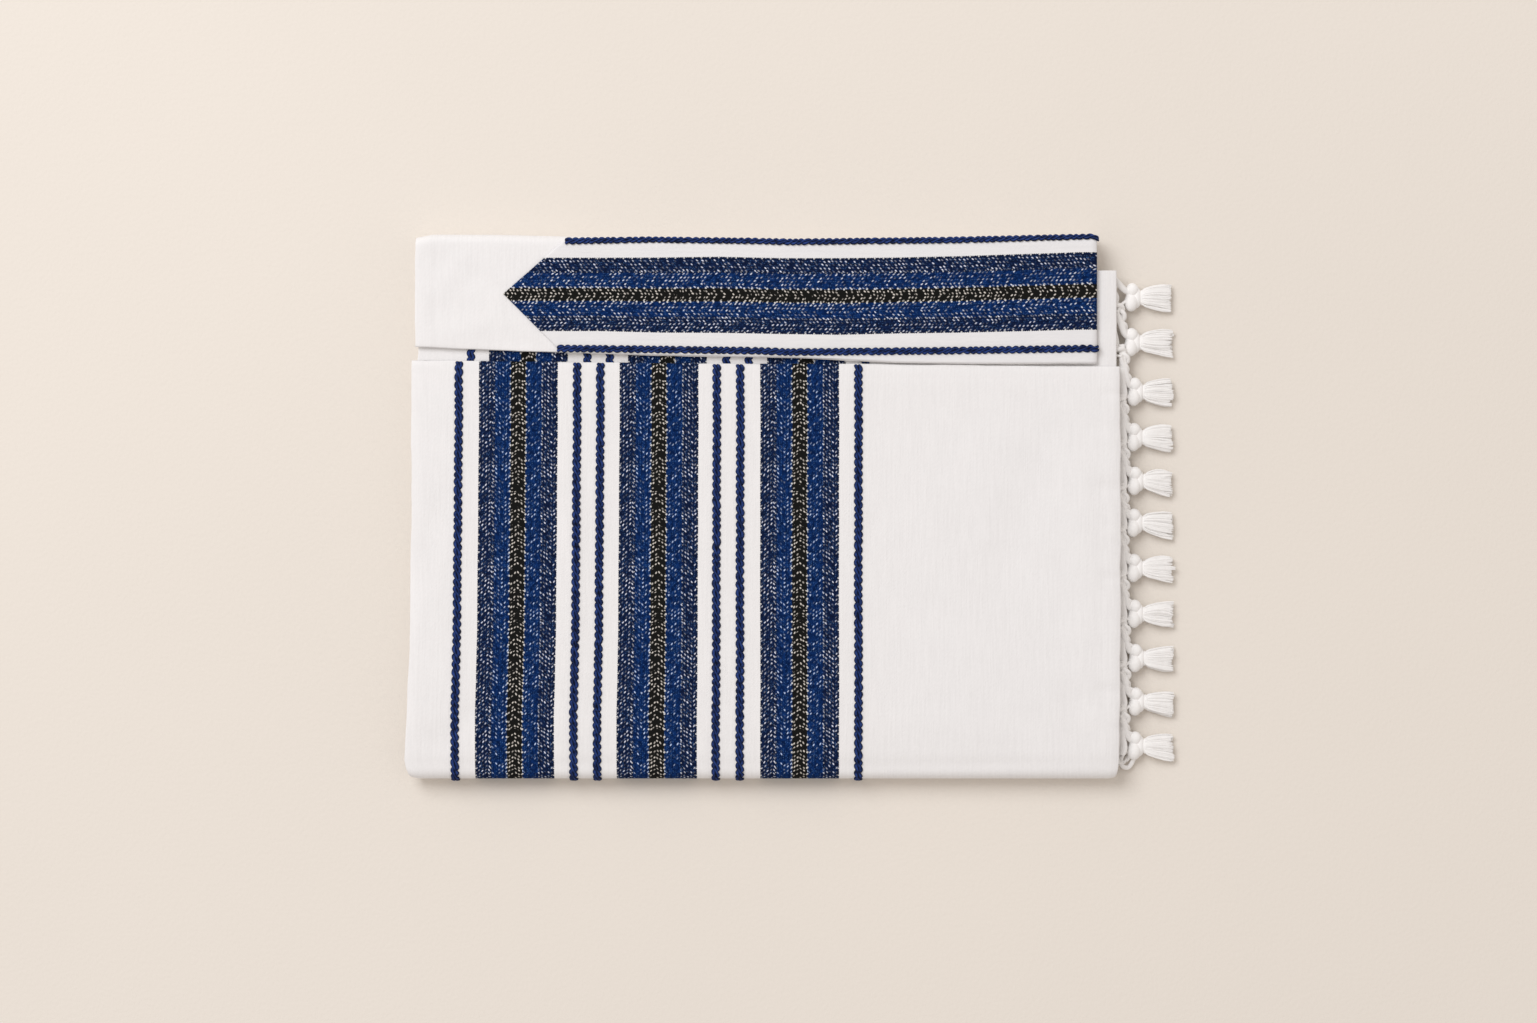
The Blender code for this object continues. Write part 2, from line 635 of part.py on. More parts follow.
def yarn(name, paths, roundness):
    """Closed tubes along short paths, each a list of (point, radius), as one mesh."""
    curve = bpy.data.curves.new(name, "CURVE")
    curve.dimensions = "3D"
    curve.bevel_depth = 1.0
    curve.bevel_resolution = roundness
    curve.use_fill_caps = True
    for path in paths:
        spline = curve.splines.new("POLY")
        spline.points.add(len(path) - 1)
        for point, (place, radius) in zip(spline.points, path):
            point.co = (*place, 1.0)
            point.radius = radius
    guide = bpy.data.objects.new(name, curve)
    bpy.context.scene.collection.objects.link(guide)
    mesh = evaluated_mesh(guide)
    bpy.data.objects.remove(guide)
    shape = bmesh.new()
    shape.from_mesh(mesh)
    bmesh.ops.remove_doubles(shape, verts=shape.verts, dist=0.001 * MM)
    bmesh.ops.recalc_face_normals(shape, faces=shape.faces)
    shape.to_mesh(mesh)
    shape.free()
    return mesh


def evaluated_mesh(thing):
    bpy.context.view_layer.update()
    return bpy.data.meshes.new_from_object(thing.evaluated_get(bpy.context.evaluated_depsgraph_get()))


def lobe(name, middle, radii):
    """One of the rounded turns of yarn that a knot is made of."""
    shape = bmesh.new()
    place = Matrix.Translation([value * MM for value in middle])
    size = Matrix.Diagonal([*(value * MM for value in radii), 1.0])
    bmesh.ops.create_uvsphere(
        shape, u_segments=LOBE_SEGMENTS, v_segments=LOBE_RINGS, radius=1.0, matrix=place @ size
    )
    mesh = bpy.data.meshes.new(name)
    shape.to_mesh(mesh)
    shape.free()
    return mesh


def leg_path(leg, junction_y, knot):
    """The route of a leg, from the cloth's edge into its knot, seen from the knot's middle."""
    root = np.array([LEG_ROOT_X, junction_y + leg["apart"], LEG_ROOT_Z]) - knot
    first = root + (LEG_START, 0.0, 0.0)
    path = [root, first]
    for share in (0.25, 0.5, 0.75, 1.0):
        sag = (LEG_SAG * math.sin(math.pi * share), 0.0, 0.0)
        path.append(first + (np.array(leg["end"]) - first) * share + sag)
    return [(tuple(point), leg["radius"]) for point in path]


def strand_paths(number, knot, chance):
    """The strands of one skirt, spreading in rows from the knot's wrap to their uneven ends."""
    lean = TASSELS["lean"][number] * MM
    paths = []
    for row, count in enumerate(STRAND_ROWS["count"]):
        sizes = {name: column[row] * MM for name, column in STRAND_ROWS.items()}
        for strand in range(count):
            side = 2 * strand / (count - 1) - 1
            shorter = STRAND_UNEVEN["length"] * chance.random() + STRAND_UNEVEN["round"] * side**2
            aside = STRAND_UNEVEN["aside"] * chance.uniform(-1, 1)
            root = np.array([STRAND_ROOT_X, side * sizes["root_half_width"], sizes["root_height"]])
            end_x = TASSELS["end"][number] * MM - knot[0] - shorter
            end_y = side * sizes["end_half_width"] + lean + aside
            end = np.array([end_x, end_y, sizes["end_height"]])
            path = []
            for share, radius in zip(*STRAND_STEPS.values()):
                spread = np.array([share, share**0.8, share**0.8])
                path.append((tuple(root + (end - root) * spread), radius * MM))
            paths.append(path)
    return paths


def joined(name, meshes):
    """The union of meshes that overlap, as one mesh."""
    things = []
    for number, mesh in enumerate(meshes):
        thing = bpy.data.objects.new(f"{name}_{number}", mesh)
        bpy.context.scene.collection.objects.link(thing)
        things.append(thing)
    for other in things[1:]:
        union = things[0].modifiers.new(other.name, "BOOLEAN")
        union.operation = "UNION"
        union.object = other
    mesh = evaluated_mesh(things[0])
    for thing in things:
        bpy.data.objects.remove(thing)
    shade(mesh, 45)
    return mesh


def tassel(number, collection, materials, chance):
    """One knotted tassel: its legs from the cloth's edge, a knot with its wrap, and a skirt."""
    name = f"tassel_{number + 1:02d}"
    knot = np.array([TASSELS["x"][number] * MM, TASSELS["y"][number] * MM, KNOT_Z])
    above = TASSELS["y"][number - 1] * MM - JUNCTION_DROP if number else FIRST_JUNCTION_Y
    below = knot[1] - JUNCTION_DROP
    legs = [leg_path(LEGS["long"], above, knot), leg_path(LEGS["short"], below, knot)]
    if number == len(TASSELS["x"]) - 1:
        legs.append(leg_path(LEGS["last"], below, knot))
    pieces = [lobe(*turn) for turn in zip(*KNOT_LOBES.values())]
    pieces.append(yarn("strands", strand_paths(number, knot, chance), roundness=0))
    pieces += [yarn("leg", [leg], roundness=1) for leg in legs]
    mesh = joined(name, pieces)
    return add_object(name, mesh, collection, [materials["white_yarn"]], place=tuple(knot))


def main():
    clear_scene()
    shawl = new_collection("folded_tallit")
    materials = {name: dull_material(name, **finish) for name, finish in COLOURS.items()}
    under_panel(shawl, materials)
    hidden_layers(shawl, materials)
    inner_fold(shawl, materials)
    front_panel(shawl, materials)
    collar_flap(shawl, materials)
    neckband(shawl, materials)
    chance = random.Random(FRINGE_SEED)
    for number in range(len(TASSELS["x"])):
        tassel(number, shawl, materials, chance)


main()
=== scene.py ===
"""The looks of a tallit, folded flat: striped cloth, a pointed neckband, raised braids and a knotted fringe.

Sizes are in metres and +Z is up. The cloth lies where the solids of the frame lie: the front panel comes
up from the front fold at -Y, the collar flap comes down from the back fold at +Y, and the fringe is at +X.
Tables are in millimetres, so that they can be read beside a ruler.
"""

import logging
import math
from dataclasses import dataclass, field
from enum import Enum

import bpy
import numpy as np
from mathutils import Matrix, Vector

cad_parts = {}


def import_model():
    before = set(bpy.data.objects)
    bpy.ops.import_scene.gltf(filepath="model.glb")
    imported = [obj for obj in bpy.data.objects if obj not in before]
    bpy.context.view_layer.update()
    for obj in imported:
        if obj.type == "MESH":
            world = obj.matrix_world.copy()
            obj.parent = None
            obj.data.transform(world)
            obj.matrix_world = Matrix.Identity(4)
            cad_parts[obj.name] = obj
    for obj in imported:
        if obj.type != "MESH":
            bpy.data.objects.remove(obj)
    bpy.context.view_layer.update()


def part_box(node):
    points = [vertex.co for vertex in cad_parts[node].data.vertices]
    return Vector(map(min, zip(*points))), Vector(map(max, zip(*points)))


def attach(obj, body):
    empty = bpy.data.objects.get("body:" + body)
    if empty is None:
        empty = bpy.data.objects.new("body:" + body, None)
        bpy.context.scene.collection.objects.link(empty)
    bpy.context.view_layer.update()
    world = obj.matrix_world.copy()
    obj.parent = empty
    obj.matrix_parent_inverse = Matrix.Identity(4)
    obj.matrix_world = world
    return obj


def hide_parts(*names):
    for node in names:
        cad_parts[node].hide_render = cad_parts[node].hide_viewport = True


Array = np.ndarray
Table = dict[str, tuple[float, ...]]
Colour = tuple[float, float, float]
Socket = bpy.types.NodeSocket
Material = bpy.types.Material
Piece = bpy.types.Object

MM = 0.001
LOG = logging.getLogger("folded_tallit")

CLOTH = 1.4 * MM
FLAP_TOP = 15.9 * MM
PANEL_TOP = 14.9 * MM
TOP_BASE = 13.5 * MM
INNER_BASE = 11.8 * MM
HIDDEN_BASE = 1.7 * MM
HIDDEN_TOP = 11.5 * MM
TUCK_END = 114.0 * MM
FRONT_FLAT_Y = -132.6 * MM
SEAM = 0.3 * MM
HEM_HEIGHT = 0.18 * MM
UP = np.array([0.0, 0.0, 1.0])

PANEL_SIDES: Table = {
    "y": (-132.6, -129.5, -116.0, -63.0, 3.0, 75.0),
    "left": (-195.8, -196.4, -195.4, -193.4, -192.6, -192.7),
    "right": (167.0, 167.4, 167.5, 168.0, 168.1, 167.6),
}
FOLD_SIDES: Table = {
    "turn": (0.0, 24.0, 60.0, 90.0, 180.0),
    "left": (-195.8, -195.3, -194.3, -193.2, -189.5),
    "right": (167.0, 166.5, 165.9, 165.2, 164.5),
}
PANEL_UPPER_EDGE: Table = {
    "x": (-193.0, -86.5, -47.0, 39.5, 93.0, 125.0, 150.0, 168.0),
    "y": (74.4, 73.2, 72.7, 72.6, 72.1, 71.7, 71.4, 71.2),
}
STRIPE_LEAN: Table = {
    "x": (-168.0, -110.0, -66.0, -37.0, -15.0),
    "lean": (2.2, 2.0, 1.3, 0.6, 0.0),
}
LEAN_GROWTH: Table = {
    "share": (0.0, 400.0, 650.0, 860.0, 1000.0),
    "growth": (0.0, 250.0, 450.0, 1000.0, 1000.0),
}
PANEL_BRAIDS = (-168.3, -108.2, -96.4, -37.3, -25.4, 34.6)
FLAP_EDGES: Table = {
    "x": (-190.0, -182.0, -150.0, -112.0, -71.0, 0.0, 26.0, 53.0, 93.0, 156.0),
    "lower": (80.9, 80.7, 79.4, 78.1, 76.7, 75.5, 74.4, 72.9, 72.3, 72.5),
    "back": (137.0, 138.6, 138.5, 137.6, 137.1, 136.6, 136.8, 137.1, 137.7, 138.1),
}
NECKBAND_BRAIDS: Table = {
    "x": (-150.0, -117.0, -70.0, -17.0, 0.0, 80.0, 155.0),
    "lower": (80.6, 80.2, 79.8, 79.1, 78.4, 79.1, 80.3),
    "upper": (134.3, 134.3, 134.7, 134.1, 133.7, 134.6, 136.2),
}
NECKBAND_STRIPES: Table = {
    "x": (-97.0, -66.0, -36.0, -5.0, 25.0, 56.0, 86.0, 117.0, 147.0),
    "low": (89.1, 88.3, 88.2, 87.6, 87.2, 87.9, 88.3, 89.0, 89.8),
    "high": (126.3, 126.4, 126.8, 126.1, 126.1, 126.4, 127.1, 128.1, 129.1),
}
LAYER_PLAN: Table = {
    "y": (-133.0, -116.0, -63.0, 3.0, 68.0, 77.0, 135.0),
    "left": (-190.5, -193.6, -192.0, -191.2, -190.9, -189.4, -188.8),
}
TASSELS: Table = {
    "x": (174.9, 174.6, 176.2, 175.9, 176.4, 175.9, 176.0, 176.2, 176.7, 176.8, 176.4),
    "y": (106.7, 83.8, 58.5, 35.3, 13.0, -8.4, -31.5, -54.9, -77.5, -99.7, -122.2),
    "lean": (-0.3, -0.7, -0.6, -0.7, -1.6, -1.9, -0.8, -0.5, -0.5, -1.3, -1.3),
    "end": (194.4, 194.9, 194.9, 194.7, 194.6, 195.1, 195.2, 195.4, 195.3, 195.5, 195.3),
}


class Slot(Enum):
    """The record's material slots."""

    CLOTH = "shawl_cloth"
    NECKBAND = "neckband_cloth"
    YARN = "fringe_yarn"


class Side(Enum):
    """The neckband's long sides, by their columns in the tables."""

    LOWER = "lower"
    UPPER = "upper"


# Numbers on grids


def from_table(table: Table, along: str, value: str, at: Array) -> Array:
    """Read a column of a table in metres at places, in metres too, along another of its columns."""
    return np.interp(np.asarray(at) / MM, table[along], table[value]) * MM


def smooth_step(value: Array, low: float, high: float) -> Array:
    """Rise from 0 at low to 1 at high, as the cubic 3t2 - 2t3."""
    t = np.clip((value - low) / (high - low), 0.0, 1.0)
    return t * t * (3 - 2 * t)


def rounded_columns(start: float, stop: float, count: int, radius: float) -> Array:
    """Places from start to stop, even in the middle and close together where the edges are rounded.

    Args:
        start: The first edge.
        stop: The last edge.
        count: How many even places there are.
        radius: How far in the rounding reaches.

    Returns:
        The places in order.
    """
    near = radius * (1 - np.cos(np.linspace(0, math.pi / 2, 6)[:-1]))
    even = np.linspace(start + radius, stop - radius, count)
    return np.concatenate([start + near, even, stop - near[::-1]])


def edge_sink(across: Array, along: Array, radius: float) -> Array:
    """How far a cloth's surface sinks near its edges: a quarter circle, and a ball's eighth at corners.

    Args:
        across: Distance to the nearest side edge.
        along: Distance to the nearest end edge.
        radius: The radius of the rounding.

    Returns:
        The depth, which is 0 past the radius and the radius at the very edge.
    """
    a = np.clip(radius - across, 0, radius)
    b = np.clip(radius - along, 0, radius)
    return radius - np.sqrt(np.clip(radius**2 - a**2 - b**2, 0, None))


def wander(at: Array, seed: int, length: float, amount: float) -> Array:
    """A smooth uneven line: a sum of five sines of falling size, with seeded phases.

    Args:
        at: Places along the line.
        seed: Picks the phases.
        length: The longest wave.
        amount: About how far the line strays.

    Returns:
        The offset at each place.
    """
    chance = np.random.default_rng(seed)
    total = np.zeros_like(np.asarray(at, dtype=float))
    for wave in range(5):
        rate = 2 * math.pi / length * 1.7**wave * chance.uniform(0.8, 1.2)
        total = total + np.sin(at * rate + chance.uniform(0, 2 * math.pi)) / 1.5**wave
    return total * amount / 2


def smooth_path(points: Array, count: int) -> Array:
    """A Catmull-Rom curve through points.

    Args:
        points: The points that it passes, n x 3 or n x any.
        count: How many places it is read at.

    Returns:
        count rows along the curve.
    """
    padded = np.concatenate([[2 * points[0] - points[1]], points, [2 * points[-1] - points[-2]]])
    at = np.linspace(0, len(points) - 1, count)
    span = np.minimum(at.astype(int), len(points) - 2)
    t = (at - span)[:, None]
    a, b, c, d = (padded[span + step] for step in range(4))
    return 0.5 * (2 * b + (c - a) * t + (2 * a - 5 * b + 4 * c - d) * t**2 + (3 * b - a - 3 * c + d) * t**3)


def normalised(vectors: Array) -> Array:
    """Vectors of length 1 along the last axis."""
    return vectors / np.maximum(np.linalg.norm(vectors, axis=-1, keepdims=True), 1e-12)


# Meshes


@dataclass
class Form:
    """A mesh being made: points, faces and, for each point, its place on the flat cloth."""

    points: Array
    faces: list[list[int]]
    uv: Array | None = None

    def piece(self, name: str, material: Material, slot: Slot, sharp: float = 60) -> Piece:
        """Make the object, dress it and let it ride with the shawl.

        Args:
            name: The piece's name.
            material: Its finish.
            slot: The record's slot for that finish; not used.
            sharp: Edges that turn more than this many degrees are drawn sharp.

        Returns:
            The new object.
        """
        mesh = bpy.data.meshes.new(name)
        mesh.from_pydata(self.points.reshape(-1, 3).tolist(), [], self.faces)
        if self.uv is not None:
            layer = mesh.uv_layers.new(name="cloth")
            corners = np.empty(len(mesh.loops), dtype=np.int32)
            mesh.loops.foreach_get("vertex_index", corners)
            layer.data.foreach_set("uv", self.uv.reshape(-1, 2)[corners].astype(np.float32).ravel())
        mesh.materials.append(material)
        mesh.shade_smooth()
        mesh.set_sharp_from_angle(angle=math.radians(sharp))
        thing = bpy.data.objects.new(name, mesh)
        bpy.context.scene.collection.objects.link(thing)
        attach(thing, "root")
        LOG.info("%s: %d faces", name, len(self.faces))
        return thing


def grid_quads(grid: Array) -> Array:
    """Quads between neighbours of a grid of point numbers, turned so that rows run towards the viewer."""
    return np.stack([grid[:-1, :-1], grid[1:, :-1], grid[1:, 1:], grid[:-1, 1:]], axis=-1).reshape(-1, 4)


def shell(outer: Array, inner: Array, uv: Array) -> Form:
    """A closed thin shell between two grids that meet all along their borders.

    Args:
        outer: rows x columns x 3 points of the outer side.
        inner: The same of the inner side.
        uv: rows x columns x 2 places on the flat cloth.

    Returns:
        The closed form, with the border points shared.
    """
    rows, columns, _ = outer.shape
    count = rows * columns
    top = np.arange(count).reshape(rows, columns)
    under = top.copy()
    under[1:-1, 1:-1] = count + np.arange((rows - 2) * (columns - 2)).reshape(rows - 2, columns - 2)
    points = np.concatenate([outer.reshape(-1, 3), inner[1:-1, 1:-1].reshape(-1, 3)])
    places = np.concatenate([uv.reshape(-1, 2), uv[1:-1, 1:-1].reshape(-1, 2)])
    faces = np.concatenate([grid_quads(top), grid_quads(under)[:, ::-1]])
    return Form(points, faces.tolist(), places)


def tubes(
    paths: Array, radii: Array, sides: int, up: Array, flat: float | Array = 1.0, relief: Array | None = None
) -> Form:
    """Closed tubes swept along paths, with an oval section.

    Args:
        paths: tubes x steps x 3 points.
        radii: tubes x steps half-widths.
        sides: Points round each ring.
        up: The way the section's short axis points, which broadcasts against the paths.
        flat: The section's height as a share of its width, one for all or steps x 1.
        relief: steps x sides factors on the radius, for grooves between plies.

    Returns:
        One form with all the tubes, each with its two ends closed. Its uv is (turn, run): the turn
        round the tube with 1 mm for a radian, which is a quarter turn at the top, and the run in metres.
    """
    count, steps, _ = paths.shape
    along = normalised(np.gradient(paths, axis=1))
    side = normalised(np.cross(along, np.broadcast_to(up, paths.shape)))
    lift = np.cross(side, along)
    turn = np.linspace(0, 2 * math.pi, sides, endpoint=False)
    size = radii[:, :, None] * (np.ones((steps, sides)) if relief is None else relief)
    rings = (
        paths[:, :, None]
        + side[:, :, None] * (size * np.cos(turn))[..., None]
        + lift[:, :, None] * (size * flat * np.sin(turn))[..., None]
    )
    grid = np.arange(count * steps * sides).reshape(count, steps, sides)
    round_grid = np.concatenate([grid, grid[:, :, :1]], axis=2)
    quads = np.concatenate([grid_quads(one) for one in round_grid])
    faces = quads.tolist() + grid[:, 0].tolist() + grid[:, -1, ::-1].tolist()
    run = np.concatenate([np.zeros((count, 1)), np.linalg.norm(np.diff(paths, axis=1), axis=2)], axis=1)
    run = np.broadcast_to(np.cumsum(run, axis=1)[:, :, None], size.shape)
    uv = np.stack([np.broadcast_to(turn * MM, size.shape), run], axis=-1)
    return Form(rings.reshape(-1, 3), faces, uv.reshape(-1, 2))


def joined(forms: list[Form]) -> Form:
    """One form with the points and faces of several.

    Args:
        forms: The forms, each with its places on the flat cloth.

    Returns:
        The one form.
    """
    starts = np.cumsum([0] + [len(form.points.reshape(-1, 3)) for form in forms])
    faces = [
        [corner + int(start) for corner in face] for form, start in zip(forms, starts) for face in form.faces
    ]
    points = np.concatenate([form.points.reshape(-1, 3) for form in forms])
    return Form(points, faces, np.concatenate([form.uv.reshape(-1, 2) for form in forms]))


# Materials


class Wiring:
    """A material's node tree, with a short call for each kind of node that the finishes use."""

    def __init__(self, name: str) -> None:
        """Start a material with its Principled shader.

        Args:
            name: The material's name.
        """
        self.material = bpy.data.materials.new(name)
        self.material.use_nodes = True
        self.tree = self.material.node_tree
        self.shader = self.tree.nodes["Principled BSDF"]

    def node(self, kind: str, **settings: object) -> bpy.types.Node:
        """Add a node and set its options.

        Args:
            kind: The node's type.
            settings: Its options.

        Returns:
            The node.
        """
        made = self.tree.nodes.new(kind)
        for key, value in settings.items():
            setattr(made, key, value)
        return made

    def plug(self, value: object, socket: Socket) -> None:
        """Link a socket's value in, or write a plain number or colour.

        Args:
            value: A socket, a number, a vector or a colour with its alpha.
            socket: What it feeds.
        """
        if isinstance(value, Socket):
            self.tree.links.new(value, socket)
        else:
            socket.default_value = value

    def fed(self, kind: str, *values: object, **settings: object) -> bpy.types.Node:
        """Add a node and feed its first inputs.

        Args:
            kind: The node's type.
            values: What its first inputs get, in their order.
            settings: Its options.

        Returns:
            The node.
        """
        made = self.node(kind, **settings)
        for value, socket in zip(values, made.inputs):
            self.plug(value, socket)
        return made

    def math(self, operation: str, *values: object) -> Socket:
        """A Math node's result."""
        return self.fed("ShaderNodeMath", *values, operation=operation).outputs[0]

    def times(self, first: object, second: object) -> Socket:
        """The product of two numbers."""
        return self.math("MULTIPLY", first, second)

    def times_plus(self, first: object, second: object, third: object) -> Socket:
        """The product of two numbers, plus a third."""
        return self.math("MULTIPLY_ADD", first, second, third)

    def wave(self, place: object, length: float) -> Socket:
        """A sine along a place in metres, with the given length of wave."""
        return self.math("SINE", self.times(place, 2 * math.pi / length))

    def step(self, value: object, low: object, high: object) -> Socket:
        """A smooth rise from 0 at low to 1 at high."""
        return self.fed("ShaderNodeMapRange", value, low, high, interpolation_type="SMOOTHSTEP").outputs[0]

    def vector(self, x: object, y: object, z: object = 0.0) -> Socket:
        """A vector from three numbers."""
        return self.fed("ShaderNodeCombineXYZ", x, y, z).outputs[0]

    def scaled(self, x: object, y: object, x_rate: float, y_rate: float) -> Socket:
        """A vector from two numbers, each times a rate of its own."""
        return self.vector(self.times(x, x_rate), self.times(y, y_rate))

    def split(self, vector: Socket) -> tuple[Socket, ...]:
        """The three numbers of a vector or a colour."""
        return tuple(self.fed("ShaderNodeSeparateXYZ", vector).outputs)

    def cloth_place(self) -> tuple[Socket, ...]:
        """The place on the flat cloth, from the piece's own map, in metres."""
        return self.split(self.node("ShaderNodeUVMap", uv_map="cloth").outputs[0])

    def noise(self, vector: object, scale: float, detail: float, rough: float) -> Socket:
        """Soft noise from 0 to 1.

        Args:
            vector: Where it is read.
            scale: How many waves there are in a unit of length.
            detail: How many finer layers are added.
            rough: How strong each of them is.

        Returns:
            The noise.
        """
        made = self.node("ShaderNodeTexNoise", noise_dimensions="3D")
        self.plug(vector, made.inputs["Vector"])
        made.inputs["Scale"].default_value = scale
        made.inputs["Detail"].default_value = detail
        made.inputs["Roughness"].default_value = rough
        return made.outputs[0]

    def cells(self, vector: object, loose: float) -> tuple[Socket, Socket]:
        """The middle of the nearest cell of size 1, and that cell's random colour.

        Args:
            vector: Where it is read.
            loose: How far the cells stray from a square grid, 0 to 1.

        Returns:
            The middle and the colour.
        """
        made = self.node("ShaderNodeTexVoronoi", voronoi_dimensions="2D", feature="F1")
        self.plug(vector, made.inputs["Vector"])
        made.inputs["Scale"].default_value = 1.0
        made.inputs["Randomness"].default_value = loose
        return made.outputs["Position"], made.outputs["Color"]

    def vectors(self, operation: str, *values: object) -> bpy.types.Node:
        """A Vector Math node, fed."""
        return self.fed("ShaderNodeVectorMath", *values, operation=operation)

    def mix(self, share: object, first: object, second: object) -> Socket:
        """A blend of two colours.

        Args:
            share: How much of the second there is.
            first: A colour.
            second: Another.

        Returns:
            The blend.
        """
        made = self.node("ShaderNodeMix", data_type="RGBA")
        self.plug(share, made.inputs[0])
        self.plug(first if isinstance(first, Socket) else (*first, 1.0), made.inputs[6])
        self.plug(second if isinstance(second, Socket) else (*second, 1.0), made.inputs[7])
        return made.outputs[2]

    def flecks(
        self, a: object, b: object, size: tuple[float, float], loose: float
    ) -> tuple[Socket, tuple[Socket, ...]]:
        """Loose rows of thread floats.

        Args:
            a: Place across the rows.
            b: Place along the rows.
            size: Spacing across and along, in metres.
            loose: How uneven the rows are, 0 to 1.

        Returns:
            Distance from a float's middle in metres, and three random numbers for each float.
        """
        place = self.vector(self.math("DIVIDE", a, size[0]), self.math("DIVIDE", b, size[1]))
        middle, colour = self.cells(place, loose)
        away = self.vectors("SUBTRACT", place, middle).outputs["Vector"]
        away = self.vectors("MULTIPLY", away, (*size, 0.0)).outputs["Vector"]
        return self.vectors("LENGTH", away).outputs["Value"], self.split(colour)

    def dot_row(self, away: object, at: float, v: object, every: float, radius: float) -> Socket:
        """A row of dots along the band at one distance from its middle line.

        Args:
            away: Distance from the band's middle line.
            at: The dots' own distance from it.
            v: Place along the band.
            every: The dots' spacing.
            radius: Their radius.

        Returns:
            1 on a dot and 0 off it.
        """
        along = self.math("PINGPONG", v, every / 2)
        across = self.math("SUBTRACT", away, at)
        square = self.math("ADD", self.math("POWER", across, 2.0), self.math("POWER", along, 2.0))
        return self.step(self.math("SQRT", square), radius * 1.25, radius * 0.6)

    def bump(self, height: object, depth: float) -> Socket:
        """A bent normal from a height of 0 to 1 that stands for a depth in metres.

        Args:
            height: The height.
            depth: What it stands for.

        Returns:
            The bent normal.
        """
        made = self.node("ShaderNodeBump")
        made.inputs["Strength"].default_value = 1.0
        made.inputs["Distance"].default_value = depth
        self.plug(height, made.inputs["Height"])
        return made.outputs[0]

    def finish(self, colour: object, normal: object, rough: float, sheen: float, gloss: float) -> Material:
        """Wire colour and normal to the shader and set its plain values.

        Args:
            colour: The base colour.
            normal: The bent normal.
            rough: Roughness.
            sheen: Weight of the soft sheen of fibres.
            gloss: The specular level.

        Returns:
            The finished material.
        """
        self.plug(colour, self.shader.inputs["Base Color"])
        self.plug(normal, self.shader.inputs["Normal"])
        self.shader.inputs["Roughness"].default_value = rough
        self.shader.inputs["Sheen Weight"].default_value = sheen
        self.shader.inputs["Sheen Roughness"].default_value = 0.5
        self.shader.inputs["Specular IOR Level"].default_value = gloss
        return self.material


